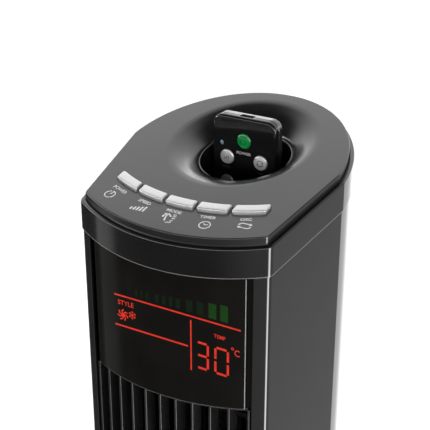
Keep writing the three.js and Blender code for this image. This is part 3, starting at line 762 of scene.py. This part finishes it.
def smooth_levels(levels, steps):
    """Levels on a smooth curve through the given ones."""
    made = []
    for i in range(len(levels) - 1):
        p0 = levels[max(i - 1, 0)]
        p1, p2 = levels[i], levels[i + 1]
        p3 = levels[min(i + 2, len(levels) - 1)]
        for k in range(steps):
            t = k / steps
            made.append(tuple(
                0.5 * (2 * b + (c - a) * t + (2 * a - 5 * b + 4 * c - d) * t * t
                       + (3 * b - a - 3 * c + d) * t ** 3)
                for a, b, c, d in zip(p0, p1, p2, p3)))
    made.append(tuple(levels[-1]))
    return made


def oval(rx, ry, n, cy, grow=0.0, count=192):
    """Points of a rounded section, with n its squareness."""
    points = []
    for a in turns(count):
        x = math.copysign(abs(math.cos(a)) ** (2 / n), math.cos(a))
        y = math.copysign(abs(math.sin(a)) ** (2 / n), math.sin(a))
        points.append(((rx + grow) * x, cy + (ry + grow) * y))
    return points


def on_plane(points, z):
    """Raises plan points to a height below or above the sloping plane."""
    return [(x, y, slope_z(y) + z) for x, y in points]


def sheet(outer, holes):
    """A flat sheet inside one loop of points and outside the others."""
    loops = [outer, *holes]
    faces = tessellate_polygon([[Vector(p) for p in loop] for loop in loops])
    return [p for loop in loops for p in loop], [tuple(face) for face in faces]


def make_plate():
    """The dished top plate, with its five button slots."""
    under = PLATE_UNDER
    rim = [(-2.4, under), (-2.4, -6.8), (0, -6.8), (0, -0.7)]
    rim += [(-0.09, -0.35), (-0.35, -0.09), (-0.7, 0)]
    rim_rows = [on_plane(outline(o), z) for o, z in rim]
    dish = smooth_levels(FUNNEL, 5)
    dish_rows = [on_plane(oval(rx, ry, n, cy), z) for z, rx, ry, n, cy in dish]
    z, rx, ry, n, cy = FUNNEL[-1]
    dish_rows.append(on_plane(oval(rx, ry, n, cy, 1.6), z))
    for z, rx, ry, n, cy in reversed(FUNNEL[3:-1]):
        dish_rows.append(on_plane(oval(rx, ry, n, cy, 1.6), z - 1.3))
    z, rx, ry, n, cy = FUNNEL[2]
    dish_rows.append(on_plane(oval(rx, ry, n, cy, 0.5), under))
    slots = []
    for k in range(-2, 3):
        levels = [(0.85, 0.0), (0.62, -0.12), (0.5, -0.4), (0.5, under * math.cos(SLOPE))]
        slots.append([[tilted(*p) for p in button_ring(grow, h, k)] for grow, h in levels])
    top = sheet(rim_rows[-1], [dish_rows[0], *[rows[0] for rows in slots]])
    bottom = sheet(rim_rows[0], [dish_rows[-1], *[rows[-1] for rows in slots]])
    skins = [grid(rows, caps=False) for rows in (rim_rows, dish_rows, *slots)]
    plate = join([top, bottom, *skins])
    piece("top_plate_dish", plate, "satin_grey", "tower", ["top_plate"], 30)


def button_ring(grow, h, k, corner=1.1):
    """Outline of one button: a slice of the curved band, cut front to back."""
    steps = 10
    points = []
    for side in (1, -1):
        r = BUTTON_RADIUS + side * (BUTTON_D / 2 + grow)
        for i in range(steps + 1):
            x = k * BUTTON_STEP + side * (BUTTON_W / 2 + grow) * (2 * i / steps - 1)
            points.append((x, -math.sqrt(r * r - x * x)))
    r = max(corner + grow, 0.25)
    radius = [r if i in (0, steps, steps + 1, 2 * steps + 1) else 0 for i in range(len(points))]
    return [(x, BUTTON_CENTRE + y, h) for x, y in rounded(points, radius, 4)]


def make_buttons():
    top = 2.5
    for i, name in enumerate(BUTTONS):
        k = i - 2
        levels = [(-0.1, -4.4), (0, -4.2), (0, top - 0.9)]
        for step in range(1, 6):
            a = math.pi / 2 * step / 5
            levels.append((-0.9 + 0.9 * math.cos(a), top - 0.9 + 0.78 * math.sin(a)))
        levels += [(-1.6, top - 0.05), (-2.6, top)]
        cap = grid([[tilted(*p) for p in button_ring(grow, h, k)] for grow, h in levels])
        x = k * BUTTON_STEP
        u = BUTTON_CENTRE - math.sqrt(BUTTON_RADIUS ** 2 - x * x)
        stem = [
            [tilted(x + 1.8 * math.cos(a), u + 1.8 * math.sin(a), h) for a in turns(16)]
            for h in (-6.6, -4.2)
        ]
        node = f"button_{name}"
        piece(f"{node}_cap", join([cap, grid(stem)]), "silver_plastic", node, [node], 40)


# ---- dock ----------------------------------------------------------------------------
def make_dock():
    """Glossy pocket under the dish; the remote stands on its floor."""
    remote_lo, _ = box_mm("remote_front")
    depth = remote_lo.z - slope_z(DOCK_Y + 9) - 3
    lip = [(-13.6, 31.4), (-12.9, 31.2), (-12.55, 30.9)]
    lip += [(-12.45, 30.5), (-12.6, 30.1), (-13.1, 29.8)]
    levels = [
        (-14.6, 29.7, 29.2, 2.1, DOCK_Y + 3), (-30, 28.4, 24.5, 2.8, DOCK_Y + 3),
        (-52, 25.8, 14, 3.6, DOCK_Y + 4.4), (depth, 25.2, 10.2, 4.0, DOCK_Y + 5),
    ]
    inner = smooth_levels(levels, 6)

    def ring(z, rx, ry, n, cy, grow=0.0, drop=0.0):
        return on_plane(oval(rx, ry, n, cy, grow, 128), z - drop)

    rows = [on_plane(oval(r, r - 0.1, 2.06, DOCK_Y + 2.75, count=128), z) for z, r in lip]
    rows += [ring(*level) for level in inner]
    bottom = inner[-1]
    rows += [ring(*bottom, grow=grow, drop=0.25) for grow in (-1.2, -6)]
    under = [ring(*bottom, grow=grow, drop=3) for grow in (-6, 1.2)]
    outer = [ring(*level, grow=2) for level in reversed(inner)]
    inside = grid([*under, *outer, *rows])
    floor = oblong(-23.8, 23.8, DOCK_Y - 2, DOCK_Y + 12, 2)
    step = grid([[(x, y, z) for x, y in floor] for z in (remote_lo.z - 8, remote_lo.z - GAP)])
    pocket = join([inside, step])
    piece("remote_dock_pocket", pocket, "gloss_black", "tower", ["remote_dock"], 40)


# ---- front: display window and outlet grille -----------------------------------------
def front_y(x, offset):
    return FRONT_CY - math.sqrt((FRONT_R + offset) ** 2 - x * x)


def make_lens():
    """Curved window with a raised face and a lower margin at its sides."""
    lo, _ = box_mm("display_lens")
    face_half, margin = 54.5, LENS_HALF
    xs = [face_half * (2 * i / 56 - 1) for i in range(57)]
    bend = 0.5
    edge = [(0.42, -1.0), (0.36, 0.55), (0.2, 0.86)]
    columns = [(-margin, -1.0), *[(-face_half - out, o) for out, o in edge]]
    columns += [(x, 1.0) for x in xs]
    columns += [(-x, o) for x, o in reversed(columns[:4])]

    def top(y):
        return slope_z(y) + SEAM - 0.5

    levels = [(0.0, -bend), (0.12, -0.14), (0.4, 0.0)]

    def line(shift, z_of):
        return [(x, front_y(x, o + shift), z_of(front_y(x, o))) for x, o in columns]

    rows = [line(-2.6, lambda y: lo.z)]
    rows += [line(d, lambda y, s=s: lo.z + s) for s, d in levels]
    rows += [line(d, lambda y, s=s: top(y) - s) for s, d in reversed(levels)]
    rows.append(line(-2.6, top))
    skin = grid(rows, wrap_rows=True, wrap_columns=False)
    made = piece("display_window", skin, "smoked_lens", "tower", ["display_lens"], 30)
    # the bevelled edge faces take the lighter grey material: a painted highlight line round the
    # window, with real reflection from its specular
    made.data.materials.append(MATERIALS["lens_edge_painted_highlight"])
    centre = Vector((0, FRONT_CY * MM))
    for face in made.data.polygons:
        out = face.center.xy - centre
        if out.length > (FRONT_R + 0.3) * MM and 0.05 < face.normal.xy.dot(out.normalized()) < 0.93:
            face.material_index = 1


def rail(half, outer, inner, z0, z1, steps=40, round_by=0.5):
    """A curved bar across the outlet, with its front edges rounded."""
    profile = oblong(inner, outer, z0, z1, [0.1, round_by, round_by, 0.1])
    rows = [[(x, y, z) for x, y in front_arc(half, o, steps)] for o, z in profile]
    return grid(rows, wrap_rows=True, wrap_columns=False)


def make_outlet():
    lo, hi = box_mm("front_grille")
    inner_lo = lo.z + 7.6
    shapes = [rail(OPENING_HALF, 1, -9, lo.z, inner_lo)]
    shapes.append(rail(OPENING_HALF, -1.4, -9, hi.z - 2, hi.z))
    for i in range(1, 4):
        z = inner_lo + (hi.z - inner_lo) * i / 4
        shapes.append(rail(OPENING_HALF, -7, -10.5, z - 1, z + 1))
    for i in range(SLATS):
        x = (i - (SLATS - 1) / 2) * SLAT_STEP
        y = front_y(x, 0.6)
        section = oblong(x - 0.8, x + 0.8, y, y + 10.5, [0.45, 0.45, 0.3, 0.3])
        shapes.append(grid([[(px, py, z) for px, py in section] for z in (inner_lo - 1, hi.z)]))
    piece("outlet_grille", join(shapes), "satin_black", "tower", ["front_grille"], 40)


def make_intake():
    """Rear grille: a frame, upright bars and two hoops behind them."""
    lo, hi = box_mm("rear_grille")
    start = math.radians(INTAKE_ANGLE + 0.6)
    end = math.pi - start
    out = BODY_OUT - 0.3
    shapes = []

    def hoop(z0, z1, outer, inner):
        profile = oblong(inner, outer, z0, z1, [0.2, 0.7, 0.7, 0.2])
        rows = [[(x, y, z) for x, y in back_arc(o, 60, start, end)] for o, z in profile]
        return grid(rows, wrap_rows=True, wrap_columns=False)

    shapes.append(hoop(lo.z, lo.z + 6, out, out - 2.6))
    shapes.append(hoop(hi.z - 6, hi.z, out, out - 2.6))
    for i in (1, 2):
        z = lo.z + (hi.z - lo.z) * i / 3
        shapes.append(hoop(z - 1.2, z + 1.2, out - 1.6, out - 3.6))
    bars = 33
    for i in range(bars):
        a = start + (end - start) * i / (bars - 1)
        edge = i in (0, bars - 1)
        width = 4 if edge else 1.3
        shift = (-1 if i == 0 else 1) * (width / 2) if edge else 0
        normal = Vector((math.cos(a) / (BACK_A + 1), math.sin(a) / (BACK_B + 1))).normalized()
        along = Vector((-normal.y, normal.x))
        centre = Vector(((BACK_A + out) * math.cos(a), (BACK_B + out) * math.sin(a)))
        centre -= along * shift
        plan = oblong(-width / 2, width / 2, -2.5, -0.12, [0.2, 0.2, 0.5, 0.5])
        section = [centre + along * u + normal * v for u, v in plan]
        shapes.append(grid([[(p.x, p.y, z) for p in section] for z in (lo.z, hi.z)]))
    piece("intake_grille", join(shapes), "dark_plastic", "tower", ["rear_grille"], 40)


# ---- base ----------------------------------------------------------------------------
def make_base():
    lo, hi = box_mm("base_cover")
    inner = [(20.5, 31.5), (90, 31.5), (124, 23.6), (145, 14.4), (147.4, 11), (147.4, lo.z)]
    outer = [(BASE_R, lo.z), (BASE_R, 12)]
    for i in range(1, 24):
        t = i / 24
        r = BASE_R + (92 - BASE_R) * t
        outer.append((r, 12 + (34 - 12) * math.sin(t * math.pi / 2) ** 1.15))
    outer += [(92, 34), (60, 34), (21.2, 34), (20.5, 33.3)]
    cover = mesh_object("base_cover_dish", lathe([*inner, *outer], 144))
    hole = mesh_object("inlet_cutter", lathe([(4, -8), (4, 8)], 32, closed=False))
    inlet_lo, inlet_hi = box_mm("cord_inlet")
    inlet = (0, (BASE_R - 2) * MM, (inlet_lo.z + inlet_hi.z) / 2 * MM)
    hole.data.transform(Matrix.Rotation(math.pi / 2, 4, "X"))
    hole.data.transform(Matrix.Translation(inlet))
    carve(cover, [hole])
    finish(cover, "gloss_black", "base", ["base_cover"], 30)
    for i in range(1, 5):
        lo, hi = box_mm(f"foot_{i}")
        centre = ((lo.x + hi.x) / 2, (lo.y + hi.y) / 2, 0)
        profile = [
            (0.01, 0.6), (3, 0.6), (3.4, 0), (5.4, 0), (5.8, 0.6), (7, 0.6), (7.4, 0),
            (10.4, 0), (11, 0.3), (12, 2.6), (11.8, 3), (0.01, 3),
        ]
        foot = lathe(profile, 48, centre, closed=False)
        piece(f"foot_pad_{i}", foot, "rubber", "base", [f"foot_{i}"], 40)


# ---- impeller ------------------------------------------------------------------------
def make_drums():
    """Three drum segments, each with a ring of thin forward-curved blades."""
    blades, root = 30, 31.5
    for i in range(1, 4):
        lo, hi = box_mm(f"drum_{i}")
        reach = (hi.x - lo.x) / 2
        shapes = []
        for z0, z1 in ((lo.z, lo.z + 1.6), (hi.z - 1.6, hi.z)):
            profile = oblong(9, reach - 0.3, z0, z1, 0.3)
            shapes.append(lathe(profile, 72, (0, DRUM_Y, 0)))
        for turn in turns(blades):
            line = []
            for step in range(6):
                r = root + (reach - 0.8 - root) * step / 5
                line.append((r, turn + 0.16 * math.sin(1.9 * step / 5)))
            sides = [(r, a - 0.4 / r) for r, a in line]
            sides += [(r, a + 0.4 / r) for r, a in reversed(line)]
            section = [(r * math.cos(a), r * math.sin(a) + DRUM_Y) for r, a in sides]
            shapes.append(grid([[(x, y, z) for x, y in section] for z in (lo.z + 1, hi.z - 1)]))
        piece(f"blower_drum_{i}", join(shapes), "matt_black", "impeller", [f"drum_{i}"], 35)


# ---- remote control ------------------------------------------------------------------
def rounded_rect(w, h, r, x=0.0, z=0.0, steps=10):
    sides = ((1, 1), (-1, 1), (-1, -1), (1, -1))
    return rounded([(x + i * w / 2, z + j * h / 2) for i, j in sides], r, steps)


def slab(levels, w, h, r, x, z):
    """A rounded slab through (depth y, inset) levels."""
    rows = []
    for y, d in levels:
        ring = rounded_rect(w - 2 * d, h - 2 * d, max(r - d, 0.3), x, z)
        rows.append([(px, y, pz) for px, pz in ring])
    return grid(rows)


def quarter(y, inset, radius, sign, steps=5):
    """Levels of a rounded edge that ends at depth y."""
    levels = []
    for i in range(steps + 1):
        a = math.pi / 2 * i / steps
        levels.append((y + sign * radius * (1 - math.sin(a)), inset + radius * (1 - math.cos(a))))
    return levels


def stack(profile, x, z, count=48, tall=1.0):
    """A round shape on a front-to-back axis, through (radius, y) levels."""
    return grid([
        [(x + r * math.cos(a), y, z + tall * r * math.sin(a)) for a in turns(count)]
        for r, y in profile
    ])


def disc_cutter(x, z, r, y0, y1):
    return mesh_object("disc_cutter", stack([(r, y0), (r, y1)], x, z))


def make_remote():
    front_lo, front_hi = box_mm("remote_front")
    back_lo, back_hi = box_mm("remote_back")
    w, h = front_hi.x - front_lo.x, front_hi.z - front_lo.z
    z = (front_lo.z + front_hi.z) / 2
    face = front_lo.y
    levels = list(reversed(quarter(face, 0, 1.7, 1)))
    levels += [(front_hi.y - 0.15, 0), (front_hi.y, 0.15)]
    front = mesh_object("remote_front_shell", slab(levels, w, h, REMOTE_R, 0, z))
    cutters = []
    for name in BUTTONS:
        kx, kz, reach = middle_of(f"key_{name}")
        cutters.append(disc_cutter(kx, kz, reach + KEY_GAP, face - 2, front_hi.y - 1.2))

    def slot_cutter():
        ring = oblong(-4.9, 4.9, face + 2.7, face + 7.1, 0.6, 4)
        ends = (front_hi.z - 6, front_hi.z + 1)
        return mesh_object("slot_cutter", grid([[(x, y, end) for x, y in ring] for end in ends]))

    cutters.append(slot_cutter())
    carve(front, cutters)
    finish(front, "remote_face", "remote", ["remote_front"], 30)
    levels = [(back_lo.y, 0.15), (back_lo.y + 0.15, 0), *quarter(back_hi.y, 0, 1.8, -1)]
    back = mesh_object("remote_back_shell", slab(levels, w, h, REMOTE_R, 0, z))
    cover_lo, cover_hi = box_mm("battery_cover")
    cz = (cover_lo.z + cover_hi.z) / 2
    recess = [(back_hi.y - 1.8, 0), (back_hi.y + 2, 0)]
    well = mesh_object("well_cutter", slab(recess, 30, 34, 3, 0, cz))
    carve(back, [well, disc_cutter(0, cz, 10.6, back_lo.y + 0.5, back_hi.y), slot_cutter()])
    finish(back, "satin_black", "remote", ["remote_back"], 30)
    top = cover_hi.y
    lid_levels = [(cover_lo.y, 0), *quarter(top, 0, 0.4, -1, 3)]
    lid = slab(lid_levels, cover_hi.x - cover_lo.x, cover_hi.z - cover_lo.z, 2.7, 0, cz)
    made = mesh_object("battery_lid", lid)
    grooves = []
    for i in range(5):
        gz = cover_lo.z + 5 + i * 1.8
        levels = [(top - 0.35, 0), (top + 1, 0)]
        grooves.append(mesh_object("groove_cutter", slab(levels, 12, 0.8, 0.3, 0, gz)))
    carve(made, grooves)
    finish(made, "dark_plastic", "battery_cover", ["battery_cover"], 40)


def make_keys():
    """Domed keys: a rolled rim round a shallow crown."""
    for name in BUTTONS:
        lo, hi = box_mm(f"key_{name}")
        x, z, reach = middle_of(f"key_{name}")
        base, top = hi.y, lo.y
        profile = [(reach, base), (reach, top + 1.15)]
        for i in range(1, 7):
            a = math.pi / 2 * i / 6
            profile.append((reach - 1.1 + 1.1 * math.cos(a), top + 0.25 + 0.9 * (1 - math.sin(a))))
        for r, drop in ((3.9, 0.3), (3.6, 0.3), (2.6, 0.14), (1.3, 0.03)):
            profile.append((r, top + drop))
        profile.append((0.02, top))
        coat = "green_plastic" if name == "power" else "key_silver"
        piece(f"key_{name}_dome", stack(profile, x, z), coat, f"key_{name}", [f"key_{name}"], 50)


# ---- printed and lit marks -----------------------------------------------------------
def bar(x0, y0, x1, y1, width, steps=1):
    """A straight stroke as a ribbon of quads."""
    a, b = Vector((x0, y0)), Vector((x1, y1))
    side = Vector((-(b - a).y, (b - a).x)).normalized() * width / 2
    pairs = []
    for i in range(steps + 1):
        p = a + (b - a) * i / steps
        pairs.append((tuple(p + side), tuple(p - side)))
    return pairs


def arc(cx, cy, r, start, end, width, steps=24):
    """A round stroke as a ribbon of quads, its angles in degrees."""
    pairs = []
    for i in range(steps + 1):
        a = math.radians(start + (end - start) * i / steps)
        pairs.append((
            (cx + (r + width / 2) * math.cos(a), cy + (r + width / 2) * math.sin(a)),
            (cx + (r - width / 2) * math.cos(a), cy + (r - width / 2) * math.sin(a))))
    return pairs


def poly(*points):
    """A filled four-sided mark."""
    a, b, c, d = points
    return [(a, b), (d, c)]


def ribbon_shape(pairs, place, thickness):
    rows = []
    for p, q in pairs:
        rows.append([place(*p, 0), place(*q, 0), place(*q, thickness), place(*p, thickness)])
    return grid(rows)


def text_shape(body, size, x, y, place, thickness, turn=0.0, stretch=1.0):
    curve = bpy.data.curves.new("lettering", "FONT")
    curve.body = body
    curve.size = size
    curve.align_x = "CENTER"
    curve.align_y = "CENTER"
    curve.extrude = 0.5
    curve.offset = size * 0.012
    curve.resolution_u = 3
    holder = place_in_scene("lettering", curve)
    graph = bpy.context.evaluated_depsgraph_get()
    mesh = bpy.data.meshes.new_from_object(holder.evaluated_get(graph))
    verts = []
    for v in mesh.vertices:
        u, w = v.co.x * stretch, v.co.y
        verts.append(place(
            x + u * math.cos(turn) - w * math.sin(turn),
            y + u * math.sin(turn) + w * math.cos(turn),
            0 if v.co.z < 0 else thickness))
    faces = [tuple(p.vertices) for p in mesh.polygons]
    bpy.data.objects.remove(holder)
    bpy.data.meshes.remove(mesh)
    bpy.data.curves.remove(curve)
    return verts, faces


def on_plate(x, u, h):
    return tilted(x, u, 0.012 + h)


def make_panel_print():
    """White legends below the buttons: a word and a sign for each."""
    shapes = []
    words = ["POWER", "SPEED", "MODE", "TIMER", "OSC"]
    for i, word in enumerate(words):
        x = (i - 2) * LEGEND_STEP
        u = LEGEND_FRONT + x * x / (2 * BUTTON_RADIUS + 14)
        shapes.append(text_shape(word, 3.66, x, u, on_plate, PRINT, math.atan(x / 122), 1.0))

    def mark(pairs):
        shapes.append(ribbon_shape(pairs, on_plate, PRINT))

    def trace(line, width):
        for a, b in zip(line, line[1:]):
            mark(bar(*a, *b, width))

    x, u = -48.3, -63.2
    mark(arc(x, u, 3.4, 100, 440, 0.7, 36))
    mark(bar(x + 0.4, u + 0.2, x + 0.9, u + 3.9, 0.7))
    x, u = -23.4, -70.0
    for i in range(5):
        dx = -4.4 + i * 2.2
        tall = 2.4 + i * 0.75
        a, b = (x + dx, u - 2.2), (x + dx + 0.25, u - 2.2 + tall)
        mark(poly(a, b, (b[0] + 1.2, b[1]), (a[0] + 1.2, a[1])))
    x, u = -2.2, -68.7
    trunk = [(0, 0), (0.5, -3.4), (1.5, -6.6)]
    fronds = [
        [(0, 0), (-1.3, -1.1), (-1.6, -3.4)], [(0.2, 0), (-1.8, 0.4)], [(0, 0), (1.2, 0.9)],
        [(0, 0), (2.1, -0.2), (3.4, -1.9)],
    ]
    breeze = [[(3.9, 0.3), (5.9, 1.1)], [(4.5, -1.5), (6.5, -0.6)], [(5.0, -3.1), (6.9, -2.7)]]
    waves = [[(3.2, -8.3), (4.3, -7.1), (5.2, -7.6), (6.2, -6.3)], [(4.9, -5.6), (6.5, -4.6)]]
    for lines, width in (([trunk], 0.95), (fronds, 1.05), (breeze + waves, 0.65)):
        for line in lines:
            trace([(x + dx, u + du) for dx, du in line], width)
    x, u = 24.6, -70.3
    mark(arc(x, u, 3.4, 0, 360, 0.65, 40))
    mark(bar(x, u, x + 1.9, u + 0.9, 0.55))
    mark(bar(x, u, x - 1.4, u + 1.3, 0.55))
    x, u = 47.2, -62.5
    for side in (1, -1):
        loop = [(-3.9, -0.3), (-3.7, 1.0), (-2.7, 1.95), (0.4, 2.15), (2.3, 2.0)]
        line = [(x + side * px, u + side * pu) for px, pu in loop]
        trace(line, 0.75)
        tip = [(0, -1.3), (1.9, 0), (1.8, 0.05), (0, 1.3)]
        mark(poly(*[(line[-1][0] + side * dx, line[-1][1] + side * du) for dx, du in tip]))
    piece("panel_legends", join(shapes), "ink", "tower")


def on_lens(x, z, h):
    """A point of the flat display board, drawn where it shows through the curved window."""
    t = 0.0
    for _ in range(12):
        y = front_y(x + (VIEWPOINT[0] - x) * t, 1.012 + h)
        t = (y - DISPLAY_Y) / (VIEWPOINT[1] - DISPLAY_Y)
    return tuple(a + (b - a) * t for a, b in zip((x, DISPLAY_Y, z), VIEWPOINT))


def make_display():
    """Lit marks of the display window."""
    top = PLATE_Z
    red = []

    def mark(pairs, into=red):
        into.append(ribbon_shape(pairs, on_lens, PRINT))

    mark(bar(-40, top - 62, 52, top - 62, 1.1, 30))
    mark(bar(-40, top - 83.7, 14.8, top - 83.7, 1.2, 20))
    mark(bar(17, top - 64.7, 17, top - 100.4, 1.0))
    red.append(text_shape("STYLE", 4.7, -31.4, top - 67.0, on_lens, PRINT, 0, 0.98))
    red.append(text_shape("TEMP", 3.7, 37.5, top - 70.9, on_lens, PRINT, 0, 0.92))
    digits = [("3", 25.2, 3.9), ("0", 38.9, 4.4)]
    rise, middle = 9.0, top - 87.7
    segments = {
        "top": ((-0.8, 1), (0.8, 1)), "mid": ((-0.8, 0), (0.8, 0)), "low": ((-0.8, -1), (0.8, -1)),
        "ur": ((1, 0.92), (1, 0.1)), "lr": ((1, -0.1), (1, -0.92)),
        "ul": ((-1, 0.92), (-1, 0.1)), "ll": ((-1, -0.1), (-1, -0.92)),
    }
    lit = {"3": ["top", "mid", "low", "ur", "lr"], "0": ["top", "low", "ur", "lr", "ul", "ll"]}
    for digit, cx, half in digits:
        for key in lit[digit]:
            (x0, z0), (x1, z1) = segments[key]
            ends = (cx + x0 * half, middle + z0 * rise, cx + x1 * half, middle + z1 * rise)
            mark(bar(*ends, 1.6, 4))
    mark(arc(46.5, top - 76.1, 0.75, 0, 360, 0.5, 16))
    red.append(text_shape("C", 6.2, 49.6, top - 78.7, on_lens, PRINT, 0, 0.92))
    fx, fz = -33.8, top - 75.6
    for k in range(7):
        a = math.radians(360 * k / 7 + 15)
        mark(arc(
            fx + 2.3 * math.cos(a), fz + 2.3 * math.sin(a), 1.7,
            math.degrees(a) + 30, math.degrees(a) + 185, 0.9, 10))
    sx, sz = -26.6, top - 73.9
    for k in range(3):
        a = math.radians(60 * k + 30)
        cos, sin = math.cos(a), math.sin(a)
        mark(bar(sx - 3 * cos, sz - 3 * sin, sx + 3 * cos, sz + 3 * sin, 0.55))
        for end in (-1, 1):
            ex, ez = sx + end * 2.1 * cos, sz + end * 2.1 * sin
            mark(bar(ex - 0.9 * sin, ez + 0.9 * cos, ex + 0.9 * sin, ez - 0.9 * cos, 0.5))
    piece("display_red_marks", join(red), "lit_red", "tower")
    bright, dim = [], []
    columns = [
        (-22.9, 2.0, 5.0), (-18.9, 1.6, 5.2), (-14.9, 2.0, 5.4), (-7.6, 2.6, 5.8), (-2.4, 2.6, 6.2),
        (2.7, 2.8, 6.6), (7.8, 3.4, 7.2), (16.0, 4.6, 8.2), (23.7, 5.0, 9.2), (32.4, 5.4, 10.2),
        (40.5, 5.4, 11.2),
    ]
    for x, width, tall in columns:
        z = top - 59.4
        mark(bar(x, z, x, z + tall, width, 4), bright if x > 30 else dim)
    piece("display_green_bars", join(bright), "lit_green", "tower")
    piece("display_faint_bars", join(dim), "dim_green", "tower")


def make_remote_led():
    """Small lens of the signal lamp beside the power key."""
    lo, hi = box_mm("remote_front")
    x, z, r = -16.5, hi.z - 19.5, 1.3
    levels = [(r, 0.2), (r, 0.0), (0.85 * r, -0.16), (0.5 * r, -0.26), (0.02, -0.3)]
    shape = stack([(k, lo.y + y) for k, y in levels], x, z, 24, 1.2)
    piece("remote_lamp", shape, "led_lens", "remote")


def make_remote_print():
    lo, hi = box_mm("remote_front")
    face = lo.y

    def on_remote(x, z, h):
        return (x, face - 0.01 - h, z)

    word = text_shape("POWER", 2.7, 0, hi.z - 24.6, on_remote, PRINT, 0, 1.15)
    piece("remote_legends", word, "grey_ink", "remote")
    small = []
    for name, word in (("speed", "SPEED"), ("swing", "OSC"), ("mode", "MODE"), ("timer", "TIMER")):
        x, z, reach = middle_of(f"key_{name}")
        small.append(text_shape(word, 2.2, x, z - reach - 2.2, on_remote, PRINT, 0, 1.15))
    piece("remote_small_legends", join(small), "dim_ink", "remote")
    for name in BUTTONS:
        x, z, _ = middle_of(f"key_{name}")
        y = box_mm(f"key_{name}")[0].y
        shapes = []

        def on_key(px, pz, h):
            sag = 0.024 * ((px - x) ** 2 + (pz - z) ** 2)
            return (px, y + sag - 0.01 - h, pz)

        def mark(pairs):
            shapes.append(ribbon_shape(pairs, on_key, PRINT))

        if name == "power":
            mark(arc(x, z, 2.0, 125, 415, 0.45, 24))
            mark(bar(x, z + 0.3, x, z + 2.5, 0.45))
        elif name == "swing":
            for sign, side in ((1, 0), (-1, 180)):
                mark(arc(x, z, 2.0, 30 + side, 165 + side, 0.5, 14))
                tip = math.radians(22 + side)
                px, pz = x + 2.0 * math.cos(tip), z + 2.0 * math.sin(tip)
                corners = [(-0.9, 0.1), (0.1, -1.0), (0.8, 0.2), (0, 0.2)]
                mark(poly(*[(px + sign * dx, pz + sign * dz) for dx, dz in corners]))
        elif name == "speed":
            for i in range(3):
                at = x - 1.4 + i * 1.4
                mark(bar(at, z - 1.2, at, z - 0.1 + i * 0.7, 0.6))
        elif name == "mode":
            for i in range(3):
                at = z - 1.2 + i * 1.2
                mark(bar(x - 1.6, at, x + 1.6, at, 0.4))
        else:
            mark(arc(x, z, 1.9, 0, 360, 0.4, 24))
            mark(bar(x, z, x, z + 1.3, 0.4))
            mark(bar(x, z, x + 1.0, z, 0.4))
        ink = "dark_green_ink" if name == "power" else "dark_ink"
        piece(f"key_{name}_sign", join(shapes), ink, f"key_{name}")


# ---- parts kept as the frame has them ------------------------------------------------
def dress_cad():
    """A finish and softened edges for every CAD node that stays."""
    for name, node in frame["nodes"].items():
        if node.hide_render:
            continue
        slot = SLOTS[name]
        node.data.materials.clear()
        node.data.materials.append(MATERIALS[slot])
        weld = node.modifiers.new("weld", "WELD")
        weld.merge_threshold = 0.00001
        edge = node.modifiers.new("soft_edges", "BEVEL")
        edge.width = 0.0002
        edge.segments = 2
        edge.limit_method = "ANGLE"
        edge.angle_limit = math.radians(50)
        edge.use_clamp_overlap = True


SLOTS = {row["node"]: row["material_slot"] for row in frame["record"]["subparts"]}
bpy.context.scene.view_settings.view_transform = "Standard"
make_camera()
make_world()
make_floor()
make_backdrop()
make_lights()
make_materials()
make_skirt()
make_shell()
make_grip()
make_collar()
make_plate()
make_buttons()
make_dock()
make_lens()
make_outlet()
make_intake()
make_base()
make_drums()
make_remote()
make_keys()
make_panel_print()
make_display()
make_remote_led()
make_remote_print()
dress_cad()
